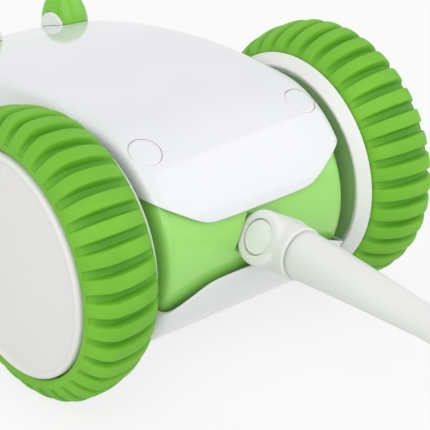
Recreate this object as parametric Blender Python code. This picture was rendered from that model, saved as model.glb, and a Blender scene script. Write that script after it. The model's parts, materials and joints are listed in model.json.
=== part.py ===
"""Automatic feather toy for a cat: a two-wheeled body with a hinged, feathered tail.

Lengths are metres. +X is the toy's right, +Y its nose and +Z up. The origin is on the floor,
under the middle of the toy's length and width. Pieces are drawn about the wheel axle.
"""
import math
from functools import lru_cache

import bmesh
import bpy
import numpy as np
from mathutils import Vector

# Fits
FIT_GAP = 0.0003
OVERRUN = 0.002

# Leading sizes
WHEEL_RADIUS = 0.033
NOSE_REACH = 0.0912

# Body outline, side view
GROUND_CLEARANCE = 0.0060
BELLY_STEP = 0.0010
CROWN_RISE = 0.0021
BELLY_RADIUS = WHEEL_RADIUS - GROUND_CLEARANCE
SHELL_RADIUS = BELLY_RADIUS - BELLY_STEP
CROWN_REACH = 0.031
CROWN_HEIGHT = SHELL_RADIUS + CROWN_RISE
BELLY_FLAT_REACH = 0.022
NOSE_POWER = 2.73
CHIN_POWER = 2.2

# Body outline, seen from above
BODY_HALF_WIDTH = 0.0275
DRUM_SQUARENESS = 24.0
NOSE_SQUARENESS = 3.47
SQUARE_UNTIL_SHARE = 0.13
ROUND_FROM_SHARE = 0.93
SIDE_WRAP_SHARE = 0.985
LIP_FROM_SHARE = 0.93
SIDE_FLAP_DEPTH = 0.0042
SIDE_FLAP_RADIUS = SHELL_RADIUS - SIDE_FLAP_DEPTH

# Shells
SHELL_WALL = 0.0015
LIP_WALL = 0.0007
LIP_DEPTH = 0.0058
LIP_BLEND = 0.0012
SHELL_EDGE_HEIGHT = 0.0066
SHELL_EDGE_FLAT = 0.0155
SHELL_EDGE_SLOPE = 0.62
BELLY_EDGE_DEPTH = 0.0064
BELLY_EDGE_FLAT = 0.0160
BELLY_EDGE_SLOPE = 0.45
EDGE_CORNER = 0.0022
NOSE_BAND_HALF = 0.0060

# Middle body
MIDDLE_WALL = 0.0018
MIDDLE_TUCK = 0.0018
MIDDLE_CENTRE_REACH = 0.010
MIDDLE_BACK_SHARES = (0, 0.25, 0.5, 0.66, 0.8, 0.9, 0.965, 1)
MIDDLE_SIDE_SHARES = (0.85, 0.6, 0.4, 0.2, 0, -0.2, -0.4, -0.6, -0.8)
MIDDLE_NOSE_SHARES = (0, 0.16, 0.3, 0.45, 0.6, 0.75, 0.9, 1)

# Wheels, measured inwards from the tread
WHEEL_GAP = 0.00075
SIDEWALL_HEIGHT = 0.0047
RING_STEP = 0.0006
RING_WIDTH = 0.00365
RING_EDGE = 0.0036
RING_SET_BACK = 0.00145
RING_LIP = 0.0009
WEB_SET_BACK = 0.0026
CAP_LIP = 0.0024
CAP_SEAT = 0.0020
TYRE_SIDE_RADIUS = WHEEL_RADIUS - SIDEWALL_HEIGHT
RING_RADIUS = TYRE_SIDE_RADIUS - RING_STEP
RING_INNER_RADIUS = RING_RADIUS - RING_EDGE
CAP_RADIUS = TYRE_SIDE_RADIUS - CAP_LIP
BARREL_RADIUS = CAP_RADIUS - CAP_SEAT
HUB_WALL = 0.0015
HUB_BOSS_RADIUS = 0.0042
TYRE_WIDTH = 0.0178
TYRE_INNER_SHOULDER = 0.0098
TYRE_OUTER_SHOULDER = 0.0045
INNER_FULLNESS = 1.65
OUTER_FULLNESS = 1.40
RIB_COUNT = 36
RIB_DEPTH = 0.0017
RIB_HALF_SHARE = 0.22
RIB_FADE_POWER = 0.5
CAP_PROUD = 0.0008
CAP_SINK = 0.0022
CAP_RIM = 0.0009
AXLE_RADIUS = 0.0015
AXLE_HUB_REACH = 0.016
BUSH_RADIUS = 0.0036
BUSH_FLANGE_RADIUS = 0.0050
BUSH_FLANGE = 0.0008

# Gears, alike on both sides
GEAR_MODULE = 0.00075
LARGE_TEETH = 24
SMALL_TEETH = 8
GEAR_WIDTH = 0.0028
GEAR_SHAFT_RADIUS = 0.0010
GEAR_SPACING = 0.0010
TOOTH_ADDENDUM_SHARE = 0.8
TOOTH_DEDENDUM_SHARE = 1.2
TOOTH_ROOT_SHARE = 0.24
TOOTH_TIP_SHARE = 0.09
GEAR_PLATE_WALL = 0.0012
GEAR_PLATE_RISE = 0.0100
GEAR_PLATE_MARGIN = 0.0065

# Motors
MOTOR_WIDTH = 0.0120
MOTOR_HEIGHT = 0.0100
MOTOR_SPACING = 0.0010

# Tray, battery and circuit board
TRAY_LIFT = 0.0110
TRAY_DROP = BELLY_RADIUS - TRAY_LIFT
TRAY_WALL = 0.0015
TRAY_TAIL_REACH = 0.0040
TRAY_WIDE_REACH = 0.0120
TRAY_NOSE_REACH = 0.7182 * NOSE_REACH
TRAY_HALF_WIDTH = 0.0170
TRAY_POST_RADIUS = 0.0017
BATTERY_LENGTH = 0.296 * NOSE_REACH
BATTERY_HALF_WIDTH = 0.0120
BATTERY_HEIGHT = 0.0115
BATTERY_CORNER = 0.0020
BATTERY_TAIL_REACH = 0.4112 * NOSE_REACH
BOARD_WALL = 0.0012
BOARD_RISE = 0.0010
BOARD_MARGIN = 0.0030

# Screws
PLUG_RADIUS = 0.00375
PLUG_WALL = 0.0011
POST_RISE_ABOVE = math.radians(26.320)
POST_RISE_BELOW = math.radians(29.499)
POST_SIDE_REACH = 0.0225
POST_RADIUS = 0.0030
POST_ROOT_SHARE = 0.6522
SCREW_HEAD_RADIUS = 0.0023
SCREW_HEAD = 0.0014
SCREW_RADIUS = 0.0011
SCREW_LENGTH = 0.0055
SOCKET_RADIUS = 0.0010
SOCKET_DEPTH = 0.0008
NOSE_SCREW_REACH = 0.614 * NOSE_REACH
NOSE_SCREW_SIDE = 0.0135
NOSE_BOSS_GAP = 0.0009

# Power button, charging port and its cover
BUTTON_RADIUS = 0.0040
BUTTON_FLANGE = 0.0009
BUTTON_PROUD = 0.0003
BUTTON_TRAVEL = 0.0010
BUTTON_REACH = 0.0060
SWITCH_WIDTH = 0.0060
PORT_HALF_WIDTH = 0.0045
PORT_HEIGHT = 0.0034
PORT_DEPTH = 0.0055
PORT_WALL = 0.0004
PORT_REACH = 0.0170
COVER_HALF_WIDTH = 0.0060
COVER_LENGTH = 0.0064
COVER_WALL = 0.0012

# Chin roller
ROLLER_REACH = 0.7237 * NOSE_REACH
ROLLER_RADIUS = 0.0045
ROLLER_HALF_WIDTH = 0.0040
ROLLER_PIN_RADIUS = 0.0010
FORK_CHEEK = 0.0018
FORK_LENGTH = 0.0070
FORK_TOE = 0.0016

# Ears and nose window
EAR_SIDE_REACH = 0.0132
EAR_REACH = 0.7325 * NOSE_REACH
EAR_RISE = 0.0003
EAR_TURN = math.radians(12.0)
EAR_HALF_WIDTH = 0.0050
EAR_HALF_LENGTH = 0.0060
EAR_HEIGHT = 0.0092
EAR_SQUARENESS = 2.7
EAR_SINK_SHARE = 0.5
EAR_SWEEP_SHARE = 1.45
EAR_TIP_SHARE = 0.08
EAR_DISC_RADIUS = 0.0037
EAR_DISC_PROUD = 0.0003
WINDOW_HALF_WIDTH = 0.0085
WINDOW_HALF_HEIGHT = 0.0036
WINDOW_DEPTH = 0.0060

# Tail
TAIL_PIVOT_STEP = 0.0032
TAIL_PIVOT_DROP = 0.0009
TAIL_ROLL = math.radians(30.0)
TAIL_PIVOT_REACH = SHELL_RADIUS + TAIL_PIVOT_STEP
KNUCKLE_RADIUS = 0.0063
KNUCKLE_HALF_WIDTH = 0.0060
KNUCKLE_EDGE = 0.0011
KNUCKLE_SLOT_GAP = 0.0005
KNUCKLE_SIDE_GAP = 0.0005
RECESS_RADIUS = 0.0042
RECESS_DEPTH = 0.0011
PIN_RADIUS = 0.0015
PIN_HEAD = 0.0005
TONGUE_HALF_WIDTH = 0.0020
TONGUE_RADIUS = 0.0032
TAIL_RISE = math.radians(30.0)
TAIL_DROP = math.radians(1.0)
TAIL_SPARE_TURN = math.radians(2.0)
BRACKET_HALF_SIZE = 0.0095
BRACKET_WALL = 0.0020
NECK_REACH = 0.0086
NECK_RADIUS = 0.0061
NECK_START_SHARE = 0.15
ROD_LENGTH = 0.0820
ROD_ROOT_RADIUS = 0.0056
ROD_MIDDLE_RADIUS = 0.0035
ROD_TIP_RADIUS = 0.0026
ROD_DROOP = 0.0060
ROD_DROOP_POWER = 1.3
ROD_TAPER_SHARE = 0.43
SOCKET_LENGTH = 0.0100
SOCKET_RIM_RADIUS = 0.0042
SOCKET_LIP = 0.0012

# Feathers
FEATHER_COUNT = 5
FEATHER_LENGTH = 0.0600
FEATHER_HALF_WIDTH = 0.0062
FEATHER_HALF_THICKNESS = 0.0006
FEATHER_SPREAD = 0.0160
FEATHER_DROOP = 0.0040
FEATHER_SPREAD_POWER = 0.95
FEATHER_ROOT_SHARE = 0.08
FEATHER_FULLNESS_POWER = 0.6
QUILL_RADIUS = 0.0006
QUILL_CIRCLE_RADIUS = 0.0022
QUILL_SHARE = 0.20

# Fineness of the meshes
RING_STEPS = 30
ROUND_STEPS = 22
SMALL_STEPS = 12
OUTLINE_STEPS = 40
CUTTER_STEPS = 90
SHELL_COLUMNS = 16
FLAP_COLUMNS = 2
SHELL_ROWS = 12
MIDDLE_LEVELS = 3
ROD_STEPS = 8
FEATHER_STEPS = 10
QUILL_STEPS = 8
EAR_LEVELS = 9
ARC_STEPS = 6
SHOULDER_STEPS = 2
RING_EDGE_STEPS = 3
SEARCH_STEPS = 40
SMOOTH_DEGREES = 35.0
TYRE_SMOOTH_DEGREES = 50.0
EAR_SMOOTH_DEGREES = 60.0

# Finishes: colour, roughness, metallic
WHITE_GLOSS = ((0.86, 0.86, 0.88), 0.16, 0.0)
WHITE_SATIN = ((0.84, 0.84, 0.83), 0.38, 0.0)
WARM_GREY = ((0.76, 0.76, 0.75), 0.40, 0.0)
GREEN_GLOSS = ((0.34, 0.72, 0.17), 0.22, 0.0)
GREEN_RUBBER = ((0.20, 0.57, 0.03), 0.55, 0.0)
EAR_GREEN = ((0.22, 0.66, 0.04), 0.25, 0.0)
WINDOW_BLACK = ((0.02, 0.02, 0.025), 0.08, 0.0)
STEEL = ((0.60, 0.60, 0.62), 0.30, 1.0)
BRASS = ((0.75, 0.57, 0.25), 0.35, 1.0)
NYLON = ((0.78, 0.76, 0.68), 0.45, 0.0)
DARK_RUBBER = ((0.05, 0.05, 0.05), 0.70, 0.0)
BOARD_GREEN = ((0.02, 0.20, 0.08), 0.45, 0.0)
CELL_BLUE = ((0.06, 0.16, 0.45), 0.40, 0.0)
FEATHER_WHITE = ((0.85, 0.84, 0.80), 0.80, 0.0)
FEATHER_GREEN = ((0.25, 0.60, 0.08), 0.80, 0.0)

# Places that follow from the sizes above
TAIL_END_REACH = (TAIL_PIVOT_REACH + NECK_REACH + FIT_GAP + ROD_LENGTH + FIT_GAP
                  + SOCKET_LENGTH + FIT_GAP + FEATHER_LENGTH)
RING_START = BODY_HALF_WIDTH + WHEEL_GAP
RING_END = RING_START + RING_WIDTH
TYRE_START = RING_END + FIT_GAP
TYRE_END = TYRE_START + TYRE_WIDTH
CAP_END = TYRE_END + CAP_PROUD
CAP_START = TYRE_END - CAP_SINK
MIDDLE_INSET = LIP_WALL + 2 * FIT_GAP
MIDDLE_HALF_WIDTH = BODY_HALF_WIDTH - MIDDLE_INSET
WALL_FACE = MIDDLE_HALF_WIDTH - MIDDLE_WALL
LARGE_GEAR_END = WALL_FACE - FIT_GAP - BUSH_FLANGE - FIT_GAP
LARGE_GEAR_START = LARGE_GEAR_END - GEAR_WIDTH
INNER_GEAR_END = LARGE_GEAR_START - GEAR_SPACING
INNER_GEAR_START = INNER_GEAR_END - GEAR_WIDTH
PLATE_END = INNER_GEAR_START - GEAR_SPACING
PLATE_START = PLATE_END - GEAR_PLATE_WALL
GEAR_CENTRES = GEAR_MODULE * (LARGE_TEETH + SMALL_TEETH) / 2
MOTOR_REACH = 2 * GEAR_CENTRES
TRAY_TOP = -TRAY_DROP
TRAY_FLOOR = TRAY_TOP - TRAY_WALL
BOARD_FLOOR = TRAY_TOP + FIT_GAP + BATTERY_HEIGHT + BOARD_RISE


# Scene and material helpers

def clear_scene():
    """Remove whatever the scene holds."""
    for item in list(bpy.data.objects):
        bpy.data.objects.remove(item, do_unlink=True)


def finish_material(name, finish):
    """Make one plain material from a colour, a roughness and a metallic value."""
    colour, roughness, metallic = finish
    material = bpy.data.materials.new(name + "_finish")
    material.use_nodes = True
    shader = material.node_tree.nodes["Principled BSDF"]
    shader.inputs["Base Color"].default_value = (*colour, 1.0)
    shader.inputs["Roughness"].default_value = roughness
    shader.inputs["Metallic"].default_value = metallic
    material.diffuse_color = (*colour, 1.0)
    return material


def add_object(name, work, place, finish=None, smooth=SMOOTH_DEGREES):
    """Turn a bmesh into a placed object; without a finish it is a hidden cutter."""
    bmesh.ops.remove_doubles(work, verts=work.verts, dist=FIT_GAP / 100)
    bmesh.ops.recalc_face_normals(work, faces=work.faces)
    mesh = bpy.data.meshes.new(name)
    work.to_mesh(mesh)
    work.free()
    mesh.shade_smooth()
    mesh.set_sharp_from_angle(angle=math.radians(smooth))
    item = bpy.data.objects.new(name, mesh)
    item.location = place
    bpy.context.scene.collection.objects.link(item)
    if finish is None:
        item.hide_render = True
        item.display_type = "WIRE"
    else:
        mesh.materials.append(finish_material(name, finish))
    return item


def add_boolean(item, other, operation):
    """Put a Boolean on an object."""
    step = item.modifiers.new(other.name, "BOOLEAN")
    step.operation = operation
    step.object = other
    step.solver = "EXACT"


def cut(item, *cutters):
    """Cut the cutters out of an object."""
    for cutter in cutters:
        add_boolean(item, cutter, "DIFFERENCE")


def join(item, *others):
    """Fuse hidden shapes to an object."""
    for other in others:
        add_boolean(item, other, "UNION")


# Mesh helpers

def loft(rings):
    """Close a stack of equal rings with a face at each end."""
    work = bmesh.new()
    rows = [[work.verts.new(point) for point in ring] for ring in rings]
    for low, high in zip(rows, rows[1:]):
        for i in range(len(low)):
            j = (i + 1) % len(low)
            work.faces.new((low[i], low[j], high[j], high[i]))
    work.faces.new(rows[0])
    work.faces.new(reversed(rows[-1]))
    return work


def looped_loft(rings):
    """Join a closed loop of equal rings, as in a tyre."""
    work = bmesh.new()
    rows = [[work.verts.new(point) for point in ring] for ring in rings]
    for k, low in enumerate(rows):
        high = rows[(k + 1) % len(rows)]
        for i in range(len(low)):
            j = (i + 1) % len(low)
            work.faces.new((low[i], low[j], high[j], high[i]))
    return work


def sheet_solid(outer, inner):
    """Close two grids of points, one over the other, into a wall."""
    work = bmesh.new()
    out_rows = [[work.verts.new(point) for point in row] for row in outer]
    in_rows = [[work.verts.new(point) for point in row] for row in inner]
    last_row = len(out_rows) - 1
    last_column = len(out_rows[0]) - 1
    for rows in (out_rows, in_rows):
        for i in range(last_row):
            for j in range(last_column):
                work.faces.new((rows[i][j], rows[i][j + 1], rows[i + 1][j + 1], rows[i + 1][j]))
    for j in range(last_column):
        for i in (0, last_row):
            work.faces.new((out_rows[i][j], out_rows[i][j + 1], in_rows[i][j + 1], in_rows[i][j]))
    for i in range(last_row):
        for j in (0, last_column):
            work.faces.new((out_rows[i][j], out_rows[i + 1][j], in_rows[i + 1][j], in_rows[i][j]))
    return work


def circle(axis_place, radius, steps, across, up, centre):
    """Points of one circle: a place along its axis, drawn with two unit directions."""
    points = []
    for k in range(steps):
        turn = 2 * math.pi * k / steps
        points.append(centre + axis_place + radius * (math.cos(turn) * across + math.sin(turn) * up))
    return points


def turned(stations, steps, axis=(1, 0, 0), centre=(0, 0, 0)):
    """Turn solid stations of (place along the axis, radius) about an axis."""
    direction = Vector(axis).normalized()
    across = direction.orthogonal().normalized()
    up = direction.cross(across)
    middle = Vector(centre)
    return loft([circle(direction * place, radius, steps, across, up, middle)
                 for place, radius in stations])


def turned_ring(profile, steps, side=1):
    """Turn a closed profile of (place along X, radius) about X, for one side."""
    rings = []
    for k in range(steps):
        turn = 2 * math.pi * k / steps
        rings.append([Vector((side * place, radius * math.cos(turn), radius * math.sin(turn)))
                      for place, radius in profile])
    return looped_loft(rings)


def box(low, high):
    """Make a box between two corners."""
    corners = [(low[0], low[1]), (high[0], low[1]), (high[0], high[1]), (low[0], high[1])]
    return loft([[Vector((x, y, z)) for x, y in corners] for z in (low[2], high[2])])


def side_box(side, near, far, back, front, bottom, top):
    """Make a box on one side, between two distances from the middle plane."""
    low, high = sorted((side * near, side * far))
    return box((low, back, bottom), (high, front, top))


# Body surface

@lru_cache(maxsize=None)
def side_outline(belly_radius):
    """Side view of the body about the axle, from the nose over the top to the chin."""
    turns = np.linspace(0, math.pi / 2, OUTLINE_STEPS)
    reach = CROWN_REACH + (NOSE_REACH - CROWN_REACH) * np.cos(turns) ** (2 / NOSE_POWER)
    height = CROWN_HEIGHT * np.sin(turns) ** (2 / NOSE_POWER)
    front = np.stack([reach, height], 1)
    lean = crown_lean()
    start = np.array([-SHELL_RADIUS * math.sin(lean), SHELL_RADIUS * math.cos(lean)])
    share = np.linspace(1, 0, OUTLINE_STEPS)[1:]
    reach = start[0] + (CROWN_REACH - start[0]) * share
    height = CROWN_HEIGHT - (CROWN_HEIGHT - start[1]) * (1 - share) ** 2
    roof = np.stack([reach, height], 1)
    turns = np.linspace(lean, math.pi / 2, OUTLINE_STEPS)[1:]
    back = SHELL_RADIUS * np.stack([-np.sin(turns), np.cos(turns)], 1)
    turns = np.linspace(math.pi / 2, math.pi, OUTLINE_STEPS)
    under = belly_radius * np.stack([-np.sin(turns), np.cos(turns)], 1)
    turns = np.linspace(math.pi / 2, 0, OUTLINE_STEPS)
    reach = BELLY_FLAT_REACH + (NOSE_REACH - BELLY_FLAT_REACH) * np.cos(turns) ** (2 / CHIN_POWER)
    height = -belly_radius * np.sin(turns) ** (2 / CHIN_POWER)
    chin = np.stack([reach, height], 1)[:-1]
    return np.concatenate([front, roof, back, under, chin])


def crown_lean():
    """Angle at which the straight-lined roof leaves the drum's circle without a kink."""
    lean = 0.0
    for _ in range(SEARCH_STEPS):
        rise = CROWN_HEIGHT - SHELL_RADIUS * math.cos(lean)
        run = CROWN_REACH + SHELL_RADIUS * math.sin(lean)
        lean = math.atan(2 * rise / run)
    return lean


@lru_cache(maxsize=None)
def side_polar(belly_radius, grow):
    """Side outline moved outward by grow, as sorted angles and radii about the axle."""
    points = side_outline(belly_radius)
    ahead = np.roll(points, -1, axis=0)
    behind = np.roll(points, 1, axis=0)
    along = ahead - behind
    along = along / np.maximum(np.hypot(along[:, 0], along[:, 1]), FIT_GAP / 1000)[:, None]
    moved = points + grow * np.stack([along[:, 1], -along[:, 0]], 1)
    angles = np.mod(np.arctan2(moved[:, 1], moved[:, 0]), 2 * math.pi)
    order = np.argsort(angles)
    return angles[order], np.hypot(moved[:, 0], moved[:, 1])[order]


def side_radius(angle, belly_radius, grow):
    """Distance from the axle to the side outline at one angle."""
    angles, radii = side_polar(belly_radius, grow)
    return float(np.interp(angle % (2 * math.pi), angles, radii, period=2 * math.pi))


def squareness(angle, belly_radius):
    """How square the body is across: nearly flat at the drum, rounder at the nose."""
    reach = side_radius(angle, belly_radius, 0) * math.cos(angle) / NOSE_REACH
    share = (reach - SQUARE_UNTIL_SHARE) / (ROUND_FROM_SHARE - SQUARE_UNTIL_SHARE)
    share = min(max(share, 0), 1)
    share = share * share * (3 - 2 * share)
    return DRUM_SQUARENESS ** (1 - share) * NOSE_SQUARENESS ** share


def body_point(angle, across, belly_radius, grow):
    """Point of the body surface at an angle about the axle and a share of the half width."""
    power = squareness(angle, belly_radius)
    fall = (1 - min(abs(across), 1) ** power) ** (1 / power)
    radius = side_radius(angle, belly_radius, grow) * fall
    width = BODY_HALF_WIDTH + grow
    return Vector((width * across, radius * math.cos(angle), radius * math.sin(angle)))


def column_point(angle, column, belly_radius, grow):
    """Point of a shell's column; past a share of one, columns run on down the side wall."""
    if abs(column) <= 1:
        return body_point(angle, column * SIDE_WRAP_SHARE, belly_radius, grow)
    power = squareness(angle, belly_radius)
    corner = (1 - SIDE_WRAP_SHARE ** power) ** (1 / power)
    flap = SIDE_FLAP_RADIUS / side_radius(angle, belly_radius, 0)
    fall = corner + (flap - corner) * (abs(column) - 1)
    width = (BODY_HALF_WIDTH + grow) * (1 - fall ** power) ** (1 / power)
    radius = side_radius(angle, belly_radius, grow) * fall
    return Vector((math.copysign(width, column), radius * math.cos(angle), radius * math.sin(angle)))


def inside_body(point, belly_radius, grow):
    """Tell whether a point lies inside the body surface."""
    angle = math.atan2(point.z, point.y)
    across = abs(point.x) / (BODY_HALF_WIDTH + grow)
    if across >= 1:
        return False
    power = squareness(angle, belly_radius)
    fall = (1 - across ** power) ** (1 / power)
    return math.hypot(point.y, point.z) < side_radius(angle, belly_radius, grow) * fall


def surface_along(start, direction, belly_radius, grow):
    """Distance from a point inside the body to its surface, along a direction."""
    near = 0.0
    far = 2 * NOSE_REACH
    for _ in range(SEARCH_STEPS):
        middle = (near + far) / 2
        if inside_body(start + middle * direction, belly_radius, grow):
            near = middle
        else:
            far = middle
    return near


def body_solid(belly_radius, grow):
    """Make the whole body as one closed solid, for cutting other pieces to it."""
    rings = []
    for column in column_shares(2 * SHELL_COLUMNS):
        rings.append([column_point(2 * math.pi * i / CUTTER_STEPS, column, belly_radius, grow)
                      for i in range(CUTTER_STEPS)])
    return loft(rings)


def column_shares(count):
    """Shares of the wrapped width at which a surface is drawn, evenly spaced round the nose."""
    limit = math.asin(SIDE_WRAP_SHARE ** (NOSE_SQUARENESS / 2))
    turns = [limit * (2 * k / count - 1) for k in range(count + 1)]
    return [math.copysign(abs(math.sin(turn)) ** (2 / NOSE_SQUARENESS), turn) / SIDE_WRAP_SHARE
            for turn in turns]


# Edges of the two shells and of the band between them

def soft_excess(reach, limit):
    """Amount by which reach passes limit, rounded at the corner."""
    excess = reach - limit
    return (excess + math.hypot(excess, EDGE_CORNER)) / 2


def shell_edge(reach):
    """Height of the upper shell's rear edge at a distance from the middle plane."""
    return SHELL_EDGE_HEIGHT + SHELL_EDGE_SLOPE * soft_excess(abs(reach), SHELL_EDGE_FLAT)


def belly_edge(reach):
    """Height of the belly shell's rear edge at a distance from the middle plane."""
    return -BELLY_EDGE_DEPTH - BELLY_EDGE_SLOPE * soft_excess(abs(reach), BELLY_EDGE_FLAT)


def rear_angle(column, edge, belly_radius):
    """Angle about the axle at which a column meets its rear edge."""
    back = column_point(math.pi, column, belly_radius, 0)
    return math.pi - math.asin(edge(back.x) / abs(back.y))


def nose_angle(column, sign, belly_radius):
    """Angle about the axle at which a column meets the band round the nose."""
    near = 0.0
    far = math.pi / 2
    for _ in range(SEARCH_STEPS):
        middle = (near + far) / 2
        if abs(column_point(sign * middle, column, belly_radius, 0).z) < NOSE_BAND_HALF:
            near = middle
        else:
            far = middle
    return sign * near


def front_reach():
    """Distance of the shells' foremost edge from the axle."""
    return max(column_point(nose_angle(0, sign, radius), 0, radius, 0).y
               for sign, radius in ((1, SHELL_RADIUS), (-1, BELLY_RADIUS)))


# The wheel axle's middle, placed so that the origin is midway along the toy
AXLE = Vector((0, (TAIL_END_REACH - front_reach()) / 2, WHEEL_RADIUS))


def shell_grid(sign, edge, belly_radius):
    """Columns and angles of a shell's grid, with rows close together at its lips."""
    flaps = [1 + k / FLAP_COLUMNS for k in range(1, FLAP_COLUMNS + 1)]
    columns = [-item for item in reversed(flaps)] + column_shares(SHELL_COLUMNS) + flaps
    grid = []
    for column in columns:
        back = rear_angle(column, edge, belly_radius)
        front = nose_angle(column, sign, belly_radius)
        if sign < 0:
            front += 2 * math.pi
        grid.append((column, row_angles(back, front, column, belly_radius)))
    return grid


def row_angles(back, front, column, belly_radius):
    """Angles from a shell's rear edge to its nose edge, evenly spaced along the surface."""
    fine = np.linspace(back, front, 6 * SHELL_ROWS)
    points = [column_point(angle, column, belly_radius, 0) for angle in fine]
    run = np.concatenate([[0], np.cumsum([(b - a).length for a, b in zip(points, points[1:])])])
    lips = [0, LIP_DEPTH, LIP_DEPTH + LIP_BLEND]
    inner = np.linspace(lips[-1], run[-1] - lips[-1], SHELL_ROWS)[1:-1]
    marks = lips + list(inner) + [run[-1] - mark for mark in reversed(lips)]
    return [float(np.interp(mark, run, fine)) for mark in marks]


def shell_wall(row, rows, column):
    """Wall at one grid point: thin at the lips that cover the middle body, thicker within."""
    edge_row = row < 2 or row > rows - 3
    edge_column = abs(column) > LIP_FROM_SHARE
    return LIP_WALL if edge_row or edge_column else SHELL_WALL


def shell_solid(sign, edge, belly_radius):
    """Make one shell from its grid, with thin lips that cover the middle body's rim."""
    outer = []
    inner = []
    for column, angles in shell_grid(sign, edge, belly_radius):
        outer.append([column_point(angle, column, belly_radius, 0) for angle in angles])
        walls = [shell_wall(row, len(angles), column) for row in range(len(angles))]
        inner.append([column_point(angle, column, belly_radius, -wall)
                      for angle, wall in zip(angles, walls)])
    return sheet_solid(outer, inner)


# Body pieces

def middle_top(point):
    """Height up to which the middle body reaches, tucked under the upper shell."""
    if point.y < 0:
        edge = shell_edge(point.x) + MIDDLE_TUCK
    else:
        edge = NOSE_BAND_HALF + MIDDLE_TUCK
    return max(edge, side_wall_top(point))


def middle_bottom(point):
    """Height down to which the middle body reaches, tucked under the belly shell."""
    if point.y < 0:
        edge = belly_edge(point.x) - MIDDLE_TUCK
    else:
        edge = -NOSE_BAND_HALF - MIDDLE_TUCK
    return min(edge, -side_wall_top(point))


def side_wall_top(point):
    """Top of the side walls beside the wheels, round about the axle."""
    if abs(point.x) < WALL_FACE:
        return 0
    reach = SHELL_RADIUS - MIDDLE_INSET - SHELL_WALL - LIP_WALL
    return math.sqrt(max(reach ** 2 - point.y ** 2, 0))


def middle_directions():
    """Directions of the middle body's stations about the vertical, closest at the corners."""
    centre = Vector((0, MIDDLE_CENTRE_REACH, 0))
    width = MIDDLE_HALF_WIDTH
    back = -(SHELL_RADIUS - MIDDLE_INSET)
    places = []
    for share in MIDDLE_BACK_SHARES:
        places.append(Vector((share * width, back, 0)))
    for share in MIDDLE_SIDE_SHARES:
        places.append(Vector((width, share * back, 0)))
    rim = NOSE_REACH - SHELL_RADIUS
    for share in MIDDLE_NOSE_SHARES:
        turn = share * math.pi / 2
        places.append(Vector((width * math.cos(turn), SHELL_RADIUS + rim * math.sin(turn), 0)))
    right = [(place - centre).normalized() for place in places]
    left = [Vector((-item.x, item.y, 0)) for item in reversed(right[1:-1])]
    return right + left


def middle_solid():
    """Make the green middle body: a tall belt with side walls beside the wheels."""
    rings = []
    for direction in middle_directions():
        outer = [middle_point(direction, share, -MIDDLE_INSET) for share in level_shares()]
        inner = [middle_point(direction, share, -MIDDLE_INSET - MIDDLE_WALL)
                 for share in reversed(level_shares())]
        rings.append(outer + inner)
    return looped_loft(rings)


def level_shares():
    """Shares of the middle body's height at its levels."""
    return [k / MIDDLE_LEVELS for k in range(MIDDLE_LEVELS + 1)]


def middle_point(direction, share, grow):
    """Point of the middle body on one station, at a share of its height there."""
    start = Vector((0, MIDDLE_CENTRE_REACH, 0))
    level = start + surface_along(start, direction, SHELL_RADIUS, -MIDDLE_INSET) * direction
    low = middle_bottom(level)
    high = middle_top(level)
    start.z = low + share * (high - low)
    return start + surface_along(start, direction, SHELL_RADIUS, grow) * direction


def post_direction(upper):
    """Direction from the axle to a rear screw post, which stands clear of the green body's rim."""
    rim = (shell_edge if upper else belly_edge)(POST_SIDE_REACH)
    height = abs(rim) + MIDDLE_TUCK
    rise = POST_RISE_ABOVE if upper else POST_RISE_BELOW
    angle = math.asin(height / (SHELL_RADIUS - MIDDLE_INSET)) + rise
    return Vector((0, -math.cos(angle), math.sin(angle) if upper else -math.sin(angle)))


def post_shape(name, side, upper, start, length, radius, steps=SMALL_STEPS):
    """Make a hidden cylinder along a rear screw post, from a distance off the axle outward."""
    centre = Vector((side * POST_SIDE_REACH, 0, 0))
    stations = [(start, radius), (start + length, radius)]
    return add_object(name, turned(stations, steps, post_direction(upper), centre), AXLE)


def post_end():
    """Distance of a screw post's outer end from the axle, under the shells' walls."""
    return SHELL_RADIUS - SHELL_WALL - FIT_GAP - LIP_BLEND


def add_middle_body():
    """Make the middle body with its axle holes, tail slot, window hole and screw posts."""
    body = add_object("mid_body", middle_solid(), AXLE, GREEN_GLOSS)
    for side, word in ((-1, "left"), (1, "right")):
        for upper, level in ((True, "top"), (False, "low")):
            name = f"{word}_{level}_post"
            start = POST_ROOT_SHARE * post_end()
            length = post_end() - start
            join(body, post_shape(name, side, upper, start, length, POST_RADIUS))
            pilot = post_shape(name + "_bore", side, upper, start - OVERRUN,
                               length + 2 * OVERRUN, SCREW_RADIUS + FIT_GAP)
            cut(body, pilot)
    half = MIDDLE_HALF_WIDTH + OVERRUN
    axle_hole = turned([(-half, BUSH_RADIUS + FIT_GAP), (half, BUSH_RADIUS + FIT_GAP)], SMALL_STEPS)
    cut(body, add_object("axle_holes", axle_hole, AXLE))
    cut(body, *tail_room("body"))
    hole = window_prism(FIT_GAP, NOSE_REACH - WINDOW_DEPTH - OVERRUN)
    cut(body, add_object("window_hole", hole, AXLE))


def window_prism(grow, start):
    """Oval bar along Y at the nose, grown all round."""
    rings = []
    for reach in (start, NOSE_REACH + OVERRUN):
        rings.append([Vector(((WINDOW_HALF_WIDTH + grow) * math.cos(turn), reach,
                              (WINDOW_HALF_HEIGHT + grow) * math.sin(turn)))
                      for turn in np.linspace(0, 2 * math.pi, ROUND_STEPS + 1)[:-1]])
    return loft(rings)


def add_window():
    """Make the dark sensor window in the band at the nose."""
    window = add_object("sensor_window", window_prism(0, NOSE_REACH - WINDOW_DEPTH), AXLE,
                        WINDOW_BLACK)
    skin = add_object("window_skin", body_solid(SHELL_RADIUS, -MIDDLE_INSET), AXLE)
    add_boolean(window, skin, "INTERSECT")


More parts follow.
